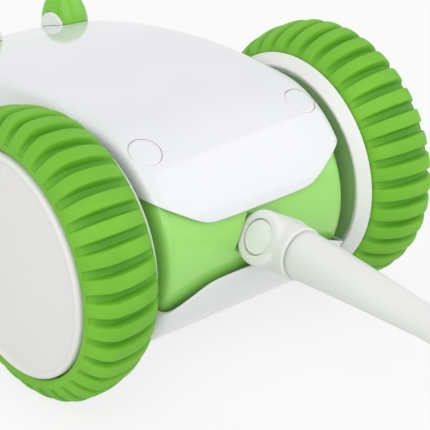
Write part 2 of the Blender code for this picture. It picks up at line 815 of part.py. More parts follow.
def add_upper_shell():
    """Make the white upper shell with its two screw holes."""
    shell = add_object("upper_shell", shell_solid(1, shell_edge, SHELL_RADIUS), AXLE, WHITE_GLOSS)
    for side, word in ((-1, "left"), (1, "right")):
        start = SHELL_RADIUS - SHELL_WALL - OVERRUN
        hole = post_shape(f"{word}_plug_hole", side, True, start, SHELL_WALL + 2 * OVERRUN,
                          PLUG_RADIUS + FIT_GAP, ROUND_STEPS)
        cut(shell, hole)


def add_belly_shell():
    """Make the white belly shell with its holes for screws, button and charging port."""
    shell = add_object("belly_shell", shell_solid(-1, belly_edge, BELLY_RADIUS), AXLE, WHITE_GLOSS)
    start = BELLY_RADIUS - SHELL_WALL - OVERRUN
    for side, word in ((-1, "left"), (1, "right")):
        rear = post_shape(f"{word}_rear_screw_hole", side, False, start,
                          SHELL_WALL + 2 * OVERRUN, SCREW_HEAD_RADIUS + FIT_GAP)
        centre = Vector((side * NOSE_SCREW_SIDE, NOSE_SCREW_REACH, 0))
        stations = [(-BELLY_RADIUS - OVERRUN, SCREW_HEAD_RADIUS + FIT_GAP),
                    (-BELLY_RADIUS / 2, SCREW_HEAD_RADIUS + FIT_GAP)]
        front = add_object(f"{word}_nose_screw_hole",
                           turned(stations, SMALL_STEPS, (0, 0, 1), centre), AXLE)
        cut(shell, rear, front)
    button = turned([(-BELLY_RADIUS - OVERRUN, BUTTON_RADIUS + FIT_GAP),
                     (-BELLY_RADIUS + SHELL_WALL + OVERRUN, BUTTON_RADIUS + FIT_GAP)],
                    ROUND_STEPS, (0, 0, 1), (0, BUTTON_REACH, 0))
    cut(shell, add_object("button_hole", button, AXLE))
    back = cover_axis()[1] - COVER_WALL / 2 - FIT_GAP
    wide = COVER_HALF_WIDTH + FIT_GAP
    port = box((-wide, back, -BELLY_RADIUS - OVERRUN),
               (wide, cover_axis()[1] + COVER_LENGTH + FIT_GAP, -BELLY_RADIUS + SHELL_WALL + OVERRUN))
    cut(shell, add_object("port_hole", port, AXLE))
    cut(shell, tail_room("belly")[0])


# Screws and plugs

def add_screw(name, centre, direction, head_end):
    """Make one socket-headed screw whose head ends at a distance along its direction."""
    stations = [(head_end - SCREW_HEAD - SCREW_LENGTH, SCREW_RADIUS),
                (head_end - SCREW_HEAD, SCREW_RADIUS),
                (head_end - SCREW_HEAD, SCREW_HEAD_RADIUS),
                (head_end, SCREW_HEAD_RADIUS),
                (head_end, SOCKET_RADIUS),
                (head_end - SOCKET_DEPTH, SOCKET_RADIUS)]
    add_object(name, turned(stations, SMALL_STEPS, direction, centre), AXLE, STEEL)


def add_screws():
    """Add the plugs over the upper screws, and all the shell screws."""
    for side, word in ((-1, "left"), (1, "right")):
        centre = Vector((side * POST_SIDE_REACH, 0, 0))
        plug = turned([(SHELL_RADIUS - PLUG_WALL, PLUG_RADIUS), (SHELL_RADIUS, PLUG_RADIUS)],
                      ROUND_STEPS, post_direction(True), centre)
        add_object(f"screw_plug_{word}", plug, AXLE, WHITE_GLOSS)
        head_end = post_end() + FIT_GAP + SCREW_HEAD
        add_screw(f"shell_screw_{word}", centre, post_direction(True), head_end)
        add_screw(f"belly_screw_rear_{word}", centre, post_direction(False), head_end)
        centre = Vector((side * NOSE_SCREW_SIDE, NOSE_SCREW_REACH, 0))
        add_screw(f"belly_screw_nose_{word}", centre, Vector((0, 0, -1)), nose_screw_depth())


def nose_screw_depth():
    """Depth of a front belly screw's head below the axle, flush with the belly's inner face."""
    start = Vector((NOSE_SCREW_SIDE, NOSE_SCREW_REACH, 0))
    return surface_along(start, Vector((0, 0, -1)), BELLY_RADIUS, -LIP_WALL)


# Wheels and drive

def quarter(start, end, steps, flip, fullness=2.0):
    """Points of a quarter oval between two (place, radius) points; a fullness of 1 is straight."""
    points = []
    for k in range(steps + 1):
        turn = math.pi / 2 * k / steps
        fall = 1 - max(0, math.cos(turn)) ** (2 / fullness)
        climb = math.sin(turn) ** (2 / fullness)
        lengthwise = climb if flip else fall
        upward = fall if flip else climb
        points.append((start[0] + (end[0] - start[0]) * lengthwise,
                       start[1] + (end[1] - start[1]) * upward))
    return points


def tyre_profile():
    """Section of a tyre as (place, radius, share of the rib's depth)."""
    bore = BARREL_RADIUS + FIT_GAP
    seat = CAP_RADIUS + FIT_GAP
    crown = WHEEL_RADIUS / math.cos(2 * math.pi * RIB_HALF_SHARE / RIB_COUNT)
    inner = quarter((TYRE_START, TYRE_SIDE_RADIUS), (TYRE_START + TYRE_INNER_SHOULDER, crown),
                    SHOULDER_STEPS, False, INNER_FULLNESS)
    outer = quarter((TYRE_END - TYRE_OUTER_SHOULDER, crown), (TYRE_END, TYRE_SIDE_RADIUS),
                    SHOULDER_STEPS, True, OUTER_FULLNESS)
    sides = [(place, radius, rib_share(radius)) for place, radius in inner + outer]
    step = CAP_START - FIT_GAP
    return [(TYRE_START, bore, 0)] + sides + [(TYRE_END, seat, 0), (step, seat, 0), (step, bore, 0)]


def rib_share(radius):
    """Share of the full rib depth at a radius: none low on the side, all at the crown."""
    share = (radius - TYRE_SIDE_RADIUS) / (WHEEL_RADIUS - TYRE_SIDE_RADIUS)
    return min(1, max(0, share)) ** RIB_FADE_POWER


def tyre_solid(side):
    """Make a tyre whose flat-crowned ribs run across the tread, one crown on the floor."""
    rings = []
    for rib in range(RIB_COUNT):
        for turn_share, depth_share in ((-RIB_HALF_SHARE, 0), (RIB_HALF_SHARE, 0), (1 / 2, 1)):
            rings.append(tyre_ring(side, rib + turn_share, depth_share))
    return looped_loft(rings)


def tyre_ring(side, rib, depth_share):
    """One section of a tyre, with its tread lowered by a share of the rib depth."""
    turn = 2 * math.pi * rib / RIB_COUNT - math.pi / 2
    points = []
    for place, radius, rib_part in tyre_profile():
        low = radius - RIB_DEPTH * rib_part * depth_share
        points.append(Vector((side * place, low * math.cos(turn), low * math.sin(turn))))
    return points


def hub_profile():
    """Section of a hub: an inner ring, a barrel, a sunk web and a boss round the axle."""
    bore = AXLE_RADIUS + FIT_GAP
    lip = RING_START + RING_SET_BACK
    ring = quarter((lip, RING_INNER_RADIUS), (RING_END, RING_RADIUS), RING_EDGE_STEPS, False)
    lip_bore = RING_INNER_RADIUS - RING_LIP
    web_face = RING_START + WEB_SET_BACK
    barrel_end = CAP_START - FIT_GAP
    barrel = BARREL_RADIUS - HUB_WALL
    web = web_face + HUB_WALL
    boss_end = RING_START + AXLE_HUB_REACH
    return ([(RING_START, bore), (RING_START, HUB_BOSS_RADIUS), (web_face, HUB_BOSS_RADIUS),
             (web_face, lip_bore), (lip, lip_bore)] + ring
            + [(RING_END, BARREL_RADIUS), (barrel_end, BARREL_RADIUS), (barrel_end, barrel),
               (web, barrel), (web, HUB_BOSS_RADIUS), (boss_end, HUB_BOSS_RADIUS), (boss_end, bore)])


def add_wheel(side, word):
    """Make one wheel: tyre, hub, cap and axle."""
    add_object(f"tyre_{word}", tyre_solid(side), AXLE, GREEN_RUBBER,
               TYRE_SMOOTH_DEGREES)
    add_object(f"hub_{word}", turned_ring(hub_profile(), RING_STEPS, side), AXLE, WHITE_SATIN)
    cap = [(CAP_START, CAP_RADIUS), (CAP_END - CAP_RIM, CAP_RADIUS),
           (CAP_END - CAP_RIM / 3, CAP_RADIUS - CAP_RIM / 3), (CAP_END, CAP_RADIUS - CAP_RIM)]
    add_object(f"hub_cap_{word}", turned(cap, RING_STEPS, (side, 0, 0)), AXLE, WARM_GREY)
    axle = [(PLATE_START, AXLE_RADIUS), (RING_START + AXLE_HUB_REACH, AXLE_RADIUS)]
    add_object(f"axle_shaft_{word}", turned(axle, SMALL_STEPS, (side, 0, 0)), AXLE, STEEL)
    flange = WALL_FACE - FIT_GAP
    bush = [(flange - BUSH_FLANGE, AXLE_RADIUS + FIT_GAP), (flange - BUSH_FLANGE, BUSH_FLANGE_RADIUS),
            (flange, BUSH_FLANGE_RADIUS), (flange, BUSH_RADIUS), (MIDDLE_HALF_WIDTH, BUSH_RADIUS),
            (MIDDLE_HALF_WIDTH, AXLE_RADIUS + FIT_GAP)]
    add_object(f"axle_bush_{word}", turned_ring(bush, SMALL_STEPS, side), AXLE, BRASS)


def gear_outline(teeth, phase):
    """Outline of a gear with straight-flanked teeth, as (Y, Z) pairs."""
    pitch = GEAR_MODULE * teeth / 2
    tip = pitch + TOOTH_ADDENDUM_SHARE * GEAR_MODULE
    root = pitch - TOOTH_DEDENDUM_SHARE * GEAR_MODULE
    tooth = 2 * math.pi / teeth
    points = []
    for k in range(teeth):
        for turn_share, radius in ((-TOOTH_ROOT_SHARE, root), (-TOOTH_TIP_SHARE, tip),
                                   (TOOTH_TIP_SHARE, tip), (TOOTH_ROOT_SHARE, root)):
            turn = (k + turn_share) * tooth + phase
            points.append((radius * math.cos(turn), radius * math.sin(turn)))
    return points


def gear_solid(side, teeth, start, end, phase):
    """Make a gear between two distances from the middle plane, about X."""
    outline = gear_outline(teeth, phase)
    return loft([[Vector((side * place, y, z)) for y, z in outline] for place in (start, end)])


def add_drive(side, word):
    """Make one side's gears, motor and the plate that carries them."""
    gap_phase = math.pi / SMALL_TEETH
    middle = AXLE + Vector((0, GEAR_CENTRES, 0))
    motor_place = AXLE + Vector((0, MOTOR_REACH, 0))
    output = add_object(f"output_gear_{word}",
                        gear_solid(side, LARGE_TEETH, LARGE_GEAR_START, LARGE_GEAR_END, 0), AXLE, NYLON)
    bore = [(PLATE_START, AXLE_RADIUS + FIT_GAP), (WALL_FACE, AXLE_RADIUS + FIT_GAP)]
    cut(output, add_object(f"{word}_output_bore", turned(bore, SMALL_STEPS, (side, 0, 0)), AXLE))
    reduction = add_object(f"reduction_gear_{word}",
                           gear_solid(side, LARGE_TEETH, INNER_GEAR_START, INNER_GEAR_END, 0),
                           middle, NYLON)
    small = gear_solid(side, SMALL_TEETH, INNER_GEAR_START + GEAR_WIDTH / 2, LARGE_GEAR_END, gap_phase)
    shaft = [(PLATE_START, GEAR_SHAFT_RADIUS), (WALL_FACE - FIT_GAP, GEAR_SHAFT_RADIUS)]
    join(reduction, add_object(f"{word}_small_gear", small, middle),
         add_object(f"{word}_gear_shaft", turned(shaft, SMALL_STEPS, (side, 0, 0)), middle))
    pinion = add_object(f"motor_pinion_{word}",
                        gear_solid(side, SMALL_TEETH, INNER_GEAR_START, INNER_GEAR_END, gap_phase),
                        motor_place, BRASS)
    shaft = [(PLATE_START + FIT_GAP, GEAR_SHAFT_RADIUS),
             (INNER_GEAR_END + GEAR_SPACING / 2, GEAR_SHAFT_RADIUS)]
    join(pinion, add_object(f"{word}_motor_shaft", turned(shaft, SMALL_STEPS, (side, 0, 0)), motor_place))
    add_object(f"motor_{word}", motor_solid(side), motor_place, STEEL)
    add_gear_plate(side, word)


def motor_solid(side):
    """Make a small motor: a round can with flats above and below and a front boss."""
    half = MOTOR_WIDTH / 2
    limit = math.asin(MOTOR_HEIGHT / MOTOR_WIDTH)
    outline = []
    for start in (-limit, math.pi - limit):
        for k in range(ARC_STEPS + 1):
            turn = start + 2 * limit * k / ARC_STEPS
            outline.append((half * math.cos(turn), half * math.sin(turn)))
    front = PLATE_START - FIT_GAP
    rings = [[Vector((side * place, y, z)) for y, z in outline] for place in (MOTOR_SPACING / 2, front)]
    return loft(rings)


def add_gear_plate(side, word):
    """Make the upright plate behind the gears, standing on the tray."""
    plate = side_box(side, PLATE_START, PLATE_END, -GEAR_PLATE_MARGIN,
                     MOTOR_REACH + GEAR_PLATE_MARGIN, TRAY_TOP + FIT_GAP, GEAR_PLATE_RISE)
    item = add_object(f"gear_plate_{word}", plate, AXLE, WHITE_SATIN)
    holes = ((0, AXLE_RADIUS), (GEAR_CENTRES, GEAR_SHAFT_RADIUS), (MOTOR_REACH, GEAR_SHAFT_RADIUS))
    for k, (reach, radius) in enumerate(holes):
        stations = [(PLATE_START - OVERRUN, radius + FIT_GAP), (PLATE_END + OVERRUN, radius + FIT_GAP)]
        hole = turned(stations, SMALL_STEPS, (side, 0, 0), (0, reach, 0))
        cut(item, add_object(f"{word}_plate_hole_{k}", hole, AXLE))


# Tray, battery, circuit board

def add_tray():
    """Make the tray inside the body, with the posts that carry the board and the nose screws."""
    wide = WALL_FACE - LIP_WALL - FIT_GAP
    tray = box((-wide, -TRAY_TAIL_REACH, TRAY_FLOOR), (wide, TRAY_WIDE_REACH, TRAY_TOP))
    item = add_object("base_tray", tray, AXLE, WHITE_SATIN)
    tongue = box((-TRAY_HALF_WIDTH, TRAY_WIDE_REACH - OVERRUN, TRAY_FLOOR),
                 (TRAY_HALF_WIDTH, TRAY_NOSE_REACH, TRAY_TOP))
    join(item, add_object("tray_front", tongue, AXLE))
    for side, word in ((-1, "left"), (1, "right")):
        centre = (side * NOSE_SCREW_SIDE, NOSE_SCREW_REACH, 0)
        depth = nose_screw_depth() - SCREW_HEAD - NOSE_BOSS_GAP
        boss = turned([(-depth, POST_RADIUS), (TRAY_TOP - TRAY_WALL / 2, POST_RADIUS)],
                      SMALL_STEPS, (0, 0, 1), centre)
        join(item, add_object(f"{word}_nose_boss", boss, AXLE))
        bore = turned([(-depth - OVERRUN, SCREW_RADIUS + FIT_GAP),
                       (TRAY_TOP + OVERRUN, SCREW_RADIUS + FIT_GAP)],
                      SMALL_STEPS, (0, 0, 1), centre)
        cut(item, add_object(f"{word}_nose_bore", bore, AXLE))
        for k, reach in enumerate(board_post_reaches()):
            centre = (side * (TRAY_HALF_WIDTH - TRAY_POST_RADIUS - FIT_GAP), reach, 0)
            post = turned([(TRAY_TOP - TRAY_WALL / 2, TRAY_POST_RADIUS),
                           (BOARD_FLOOR - FIT_GAP, TRAY_POST_RADIUS)],
                          SMALL_STEPS, (0, 0, 1), centre)
            join(item, add_object(f"{word}_board_post_{k}", post, AXLE))


def board_post_reaches():
    """Reaches of the posts under the circuit board."""
    return (BATTERY_TAIL_REACH + BOARD_MARGIN, TRAY_NOSE_REACH - TRAY_POST_RADIUS - FIT_GAP)


def add_power_pieces():
    """Make the battery, the circuit board and the power switch."""
    low = TRAY_TOP + FIT_GAP
    half = BATTERY_HALF_WIDTH
    corner = BATTERY_CORNER
    outline = [(-half, corner), (-half + corner, 0), (half - corner, 0), (half, corner),
               (half, BATTERY_HEIGHT - corner), (half - corner, BATTERY_HEIGHT),
               (-half + corner, BATTERY_HEIGHT), (-half, BATTERY_HEIGHT - corner)]
    rings = [[Vector((x, reach, low + z)) for x, z in outline]
             for reach in (BATTERY_TAIL_REACH, BATTERY_TAIL_REACH + BATTERY_LENGTH)]
    add_object("battery", loft(rings), AXLE, CELL_BLUE)
    board = box((-TRAY_HALF_WIDTH, BATTERY_TAIL_REACH, BOARD_FLOOR),
                (TRAY_HALF_WIDTH, BATTERY_TAIL_REACH + BATTERY_LENGTH + BOARD_MARGIN,
                 BOARD_FLOOR + BOARD_WALL))
    add_object("circuit_board", board, AXLE, BOARD_GREEN)
    half = SWITCH_WIDTH / 2
    switch = box((-half, BUTTON_REACH - half, button_top() + BUTTON_TRAVEL + FIT_GAP),
                 (half, BUTTON_REACH + half, TRAY_FLOOR - FIT_GAP))
    add_object("power_switch", switch, AXLE, DARK_RUBBER)


def button_top():
    """Height of the power button's inner end at rest."""
    return -BELLY_RADIUS + SHELL_WALL + FIT_GAP + BUTTON_FLANGE


def add_button():
    """Make the power button under the belly, with the flange that holds it in."""
    flange_start = -BELLY_RADIUS + SHELL_WALL + FIT_GAP
    stations = [(-BELLY_RADIUS - BUTTON_PROUD, BUTTON_RADIUS), (flange_start, BUTTON_RADIUS),
                (flange_start, BUTTON_RADIUS + BUTTON_FLANGE),
                (button_top(), BUTTON_RADIUS + BUTTON_FLANGE)]
    add_object("power_button", turned(stations, ROUND_STEPS, (0, 0, 1)),
               AXLE + Vector((0, BUTTON_REACH, 0)), GREEN_GLOSS)


def cover_axis():
    """Hinge axis of the charging cover: X, Y and Z about the axle."""
    return (0, PORT_REACH - COVER_LENGTH / 2, -BELLY_RADIUS + COVER_WALL / 2)


def add_charging_port():
    """Make the charging port's metal shell and its hinged rubber cover."""
    top = TRAY_FLOOR - FIT_GAP
    low = top - PORT_DEPTH
    half = PORT_HEIGHT / 2
    port = box((-PORT_HALF_WIDTH, PORT_REACH - half, low), (PORT_HALF_WIDTH, PORT_REACH + half, top))
    item = add_object("charging_port", port, AXLE, STEEL)
    wall = PORT_WALL
    bore = box((-PORT_HALF_WIDTH + wall, PORT_REACH - half + wall, low - OVERRUN),
               (PORT_HALF_WIDTH - wall, PORT_REACH + half - wall, top - wall))
    cut(item, add_object("port_bore", bore, AXLE))
    radius = COVER_WALL / 2
    outline = []
    for k in range(ARC_STEPS + 1):
        turn = math.pi / 2 + math.pi * k / ARC_STEPS
        outline.append((radius * math.cos(turn), radius * math.sin(turn)))
    outline += [(COVER_LENGTH, -radius), (COVER_LENGTH, radius)]
    rings = [[Vector((x, y, z)) for y, z in outline] for x in (-COVER_HALF_WIDTH, COVER_HALF_WIDTH)]
    add_object("port_cover", loft(rings), AXLE + Vector(cover_axis()), DARK_RUBBER)


# Chin roller

def roller_height():
    """Height of the roller's axis about the axle, so that the roller meets the floor."""
    return ROLLER_RADIUS - WHEEL_RADIUS


def add_roller():
    """Make the chin roller, its pin and the fork under the belly."""
    place = AXLE + Vector((0, ROLLER_REACH, roller_height()))
    bore = ROLLER_PIN_RADIUS + FIT_GAP
    half = ROLLER_HALF_WIDTH
    edge = ROLLER_RADIUS / 5
    profile = [(-half, bore), (-half, ROLLER_RADIUS - edge), (-half + edge, ROLLER_RADIUS),
               (half - edge, ROLLER_RADIUS), (half, ROLLER_RADIUS - edge), (half, bore)]
    add_object("chin_roller", turned_ring(profile, ROUND_STEPS), place, DARK_RUBBER)
    inner = half + FIT_GAP
    outer = inner + FORK_CHEEK
    add_object("roller_pin", turned([(-outer, ROLLER_PIN_RADIUS), (outer, ROLLER_PIN_RADIUS)], SMALL_STEPS),
               place, STEEL)
    long = FORK_LENGTH / 2
    toe = roller_height() - FORK_TOE
    fork = box((-outer, ROLLER_REACH - long, toe), (outer, ROLLER_REACH + long, TRAY_FLOOR))
    item = add_object("roller_fork", fork, AXLE, WHITE_SATIN)
    top = roller_height() + ROLLER_RADIUS + FIT_GAP
    slot = box((-inner, ROLLER_REACH - long - OVERRUN, toe - OVERRUN),
               (inner, ROLLER_REACH + long + OVERRUN, top))
    hole = turned([(-outer - OVERRUN, bore), (outer + OVERRUN, bore)], SMALL_STEPS)
    skin = body_solid(BELLY_RADIUS, FIT_GAP)
    cut(item, add_object("fork_slot", slot, AXLE), add_object("fork_hole", hole, place),
        add_object("fork_skin", skin, AXLE))


# Ears

def ear_rings():
    """Rings of a dome that is rounder above and squarer in plan, centred on its base."""
    rings = []
    for k in range(EAR_LEVELS + 1):
        rise = math.pi / 2 * (k / EAR_LEVELS * EAR_SWEEP_SHARE - EAR_SINK_SHARE)
        height = EAR_HEIGHT * math.sin(rise)
        spread = max(math.cos(rise), EAR_TIP_SHARE)
        rings.append([Vector((EAR_HALF_WIDTH * spread * rounded(math.cos(turn)),
                              EAR_HALF_LENGTH * spread * rounded(math.sin(turn)), height))
                      for turn in np.linspace(0, 2 * math.pi, ROUND_STEPS + 1)[:-1]])
    return rings


def rounded(value):
    """Superellipse form of a sine or cosine."""
    return math.copysign(abs(value) ** (2 / EAR_SQUARENESS), value)


def ear_base_height():
    """Height of an ear's middle above the axle, a little over the shell's surface."""
    start = Vector((EAR_SIDE_REACH, EAR_REACH, 0))
    return surface_along(start, Vector((0, 0, 1)), SHELL_RADIUS, 0) + EAR_RISE


def add_ears():
    """Make both ears with the white disc through the foot of each."""
    for side, word in ((-1, "left"), (1, "right")):
        place = AXLE + Vector((side * EAR_SIDE_REACH, EAR_REACH, ear_base_height()))
        ear = add_object(f"ear_{word}", loft(ear_rings()), place, EAR_GREEN,
                         EAR_SMOOTH_DEGREES)
        reach = EAR_HALF_WIDTH + OVERRUN
        hole = turned([(-reach, EAR_DISC_RADIUS + FIT_GAP), (reach, EAR_DISC_RADIUS + FIT_GAP)],
                      ROUND_STEPS)
        hole = add_object(f"{word}_ear_hole", hole, place)
        cut(ear, hole)
        reach = EAR_HALF_WIDTH + EAR_DISC_PROUD
        disc = turned([(-reach, EAR_DISC_RADIUS), (reach, EAR_DISC_RADIUS)], ROUND_STEPS)
        disc = add_object(f"ear_disc_{word}", disc, place, WHITE_SATIN)
        for item in (ear, hole, disc):
            item.rotation_euler = (0, 0, side * EAR_TURN)
        skin = add_object(f"{word}_ear_skin", body_solid(SHELL_RADIUS, FIT_GAP), AXLE)
        cut(ear, skin)
        cut(disc, skin)


# Tail

def tail_place():
    """World place of the tail's hinge axis."""
    return AXLE + Vector((0, -TAIL_PIVOT_REACH, -TAIL_PIVOT_DROP))


def add_tail_bracket():
    """Make the bracket inside the body whose tongue the tail hinges on."""
    tall = BRACKET_HALF_SIZE
    inner = SHELL_RADIUS - MIDDLE_INSET - MIDDLE_WALL
    low = tall + TAIL_PIVOT_DROP
    back = TAIL_PIVOT_REACH - math.sqrt(inner ** 2 - low ** 2) + FIT_GAP + FIT_GAP
    back = max(back, KNUCKLE_RADIUS + FIT_GAP)
    plate = box((-tall, back, -tall), (tall, back + BRACKET_WALL, tall))
    item = add_object("tail_bracket", plate, tail_place(), STEEL)
    half = TONGUE_HALF_WIDTH
    end = turned([(-half, TONGUE_RADIUS), (half, TONGUE_RADIUS)], ROUND_STEPS)
    arm = box((-half, 0, -TONGUE_RADIUS), (half, back + BRACKET_WALL / 2, TONGUE_RADIUS))
    join(item, add_rolled("tongue_end", end), add_rolled("tongue_arm", arm))
    bore = turned([(-half - OVERRUN, PIN_RADIUS + FIT_GAP), (half + OVERRUN, PIN_RADIUS + FIT_GAP)],
                  SMALL_STEPS)
    cut(item, add_rolled("tongue_bore", bore))


def add_rolled(name, work, finish=None):
    """Add an object on the tail's hinge axis, which leans as the pin does."""
    item = add_object(name, work, tail_place(), finish)
    item.rotation_euler = (0, TAIL_ROLL, 0)
    return item


def tail_room(word):
    """Shapes that clear the knuckle, at every turn of it, and the bracket's arm."""
    wide = KNUCKLE_HALF_WIDTH + KNUCKLE_SIDE_GAP
    radius = KNUCKLE_RADIUS + KNUCKLE_SLOT_GAP
    room = add_rolled(f"{word}_knuckle_room", turned([(-wide, radius), (wide, radius)], ROUND_STEPS))
    half = TONGUE_HALF_WIDTH + KNUCKLE_SIDE_GAP
    tall = TONGUE_RADIUS + KNUCKLE_SLOT_GAP
    arm = box((-half, 0, -tall), (half, TAIL_PIVOT_REACH / 2, tall))
    return room, add_rolled(f"{word}_arm_room", arm)


def rod_centre(reach):
    """Centre of the tail at a distance behind its hinge."""
    share = max(reach - NECK_REACH, 0) / ROD_LENGTH
    return Vector((0, -reach, -ROD_DROOP * share ** ROD_DROOP_POWER))


def rod_radius(share):
    """Radius of the tail rod at a share of its length: a quick taper, then a slow one."""
    if share < ROD_TAPER_SHARE:
        part = share / ROD_TAPER_SHARE
        return ROD_ROOT_RADIUS + (ROD_MIDDLE_RADIUS - ROD_ROOT_RADIUS) * part
    part = (share - ROD_TAPER_SHARE) / (1 - ROD_TAPER_SHARE)
    return ROD_MIDDLE_RADIUS + (ROD_TIP_RADIUS - ROD_MIDDLE_RADIUS) * part


def tail_ring(reach, radius, steps=ROUND_STEPS):
    """Upright ring of the tail about its centre line."""
    return circle(Vector((0, 0, 0)), radius, steps, Vector((1, 0, 0)), Vector((0, 0, 1)), rod_centre(reach))


def knuckle_slot():
    """Space in the knuckle that the bracket's tongue sweeps while the tail swings."""
    radius = TONGUE_RADIUS + FIT_GAP
    high = TAIL_RISE + TAIL_SPARE_TURN
    low = -TAIL_DROP - TAIL_SPARE_TURN
    outline = []
    for turn in np.linspace(high + math.pi / 2, low + 3 * math.pi / 2, ROUND_STEPS // 2):
        outline.append((radius * math.cos(turn), radius * math.sin(turn)))
    far = KNUCKLE_RADIUS + OVERRUN
    for turn, side in ((low, -1), ((low + high) / 2, 0), (high, 1)):
        outline.append((far * math.cos(turn) - side * radius * math.sin(turn),
                        far * math.sin(turn) + side * radius * math.cos(turn)))
    half = TONGUE_HALF_WIDTH + FIT_GAP
    return loft([[Vector((x, y, z)) for y, z in outline] for x in (-half, half)])


def add_tail():
    """Make the tail's knuckle, pin, rod and feather socket."""
    half = KNUCKLE_HALF_WIDTH
    edge = KNUCKLE_EDGE
    drum = [(-half, KNUCKLE_RADIUS - edge), (-half + edge, KNUCKLE_RADIUS),
            (half - edge, KNUCKLE_RADIUS), (half, KNUCKLE_RADIUS - edge)]
    place = tail_place()
    knuckle = add_rolled("tail_knuckle", turned(drum, ROUND_STEPS), WHITE_SATIN)
    neck = loft([tail_ring(NECK_REACH * share, NECK_RADIUS) for share in (NECK_START_SHARE, 1)])
    join(knuckle, add_object("tail_neck", neck, place))
    bore = turned([(-half - OVERRUN, PIN_RADIUS + FIT_GAP), (half + OVERRUN, PIN_RADIUS + FIT_GAP)],
                  SMALL_STEPS)
    cut(knuckle, add_rolled("knuckle_slot", knuckle_slot()), add_rolled("knuckle_bore", bore))
    for side, word in ((-1, "left"), (1, "right")):
        recess = [(half - RECESS_DEPTH, RECESS_RADIUS), (half + OVERRUN, RECESS_RADIUS)]
        cut(knuckle, add_rolled(f"{word}_recess", turned(recess, ROUND_STEPS, (side, 0, 0))))
    head = half - RECESS_DEPTH + FIT_GAP
    face = RECESS_RADIUS - FIT_GAP
    pin = [(-head - PIN_HEAD, face), (-head, face), (-head, PIN_RADIUS),
           (head, PIN_RADIUS), (head, face), (head + PIN_HEAD, face)]
    add_rolled("tail_pin", turned(pin, ROUND_STEPS), WHITE_SATIN)
    start = NECK_REACH + FIT_GAP
    rings = [tail_ring(start + ROD_LENGTH * k / ROD_STEPS, rod_radius(k / ROD_STEPS), SMALL_STEPS)
             for k in range(ROD_STEPS + 1)]
    add_object("tail_rod", loft(rings), place, WHITE_SATIN)
    start = start + ROD_LENGTH + FIT_GAP
    socket = [(start, SOCKET_RIM_RADIUS - SOCKET_LIP), (start + SOCKET_LIP, SOCKET_RIM_RADIUS),
              (start + SOCKET_LENGTH - SOCKET_LIP, SOCKET_RIM_RADIUS),
              (start + SOCKET_LENGTH, SOCKET_RIM_RADIUS - SOCKET_LIP)]
    add_object("feather_socket", loft([tail_ring(reach, radius) for reach, radius in socket]), place,
               GREEN_RUBBER)


def feather_sizes(share):
    """Half width and half thickness of a feather at a share of its length."""
    if share < QUILL_SHARE:
        return QUILL_RADIUS, QUILL_RADIUS
    part = (share - QUILL_SHARE) / (1 - QUILL_SHARE)
    swell = math.sin(math.pi * (part + (1 - part) * FEATHER_ROOT_SHARE)) ** FEATHER_FULLNESS_POWER
    half = QUILL_RADIUS + (FEATHER_HALF_WIDTH - QUILL_RADIUS) * swell
    return half, FEATHER_HALF_THICKNESS * (1 - part / 2)


def feather_solid(turn):
    """Make one feather that leaves the socket at a turn about the tail and opens outward."""
    start = NECK_REACH + 2 * FIT_GAP + ROD_LENGTH + SOCKET_LENGTH + FIT_GAP
    root = rod_centre(start)
    outward = Vector((math.cos(turn), 0, math.sin(turn)))
    along = Vector((-math.sin(turn), 0, math.cos(turn)))
    rings = []
    for k in range(FEATHER_STEPS + 1):
        share = k / FEATHER_STEPS
        half, thick = feather_sizes(share)
        spread = QUILL_CIRCLE_RADIUS + FEATHER_SPREAD * share ** FEATHER_SPREAD_POWER
        middle = Vector((0, -start - FEATHER_LENGTH * share, root.z - FEATHER_DROOP * share ** 2))
        middle += spread * outward
        rings.append([middle + half * math.cos(step) * along + thick * math.sin(step) * outward
                      for step in np.linspace(0, 2 * math.pi, QUILL_STEPS + 1)[:-1]])
    return loft(rings)


def add_feathers():
    """Make the feathers, spread evenly about the end of the tail."""
    for k in range(FEATHER_COUNT):
        turn = math.pi / 2 + 2 * math.pi * k / FEATHER_COUNT
        finish = FEATHER_GREEN if k % 2 else FEATHER_WHITE
        add_object(f"feather_{k + 1}", feather_solid(turn), tail_place(), finish)


def build():
    """Build the whole toy."""
    clear_scene()
    add_middle_body()
    add_window()
    add_upper_shell()
    add_belly_shell()
    add_screws()
    for side, word in ((-1, "left"), (1, "right")):
        add_wheel(side, word)
        add_drive(side, word)
    add_tray()
    add_power_pieces()
    add_button()
    add_charging_port()
    add_roller()
    add_ears()
    add_tail_bracket()
    add_tail()
    add_feathers()


build()
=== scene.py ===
"""Looks of the automatic feather cat toy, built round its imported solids.

Lengths are metres in the model's own frame: +X is the toy's right, +Y its nose and +Z up. The
toy stands on the floor at height zero, and its body is drawn about the wheel axle.
"""
import json
import logging
import math
from collections.abc import Callable, Iterable, Sequence
from dataclasses import dataclass
from enum import Enum
from functools import lru_cache

import bmesh
import bpy
import numpy as np
from mathutils import Matrix, Vector


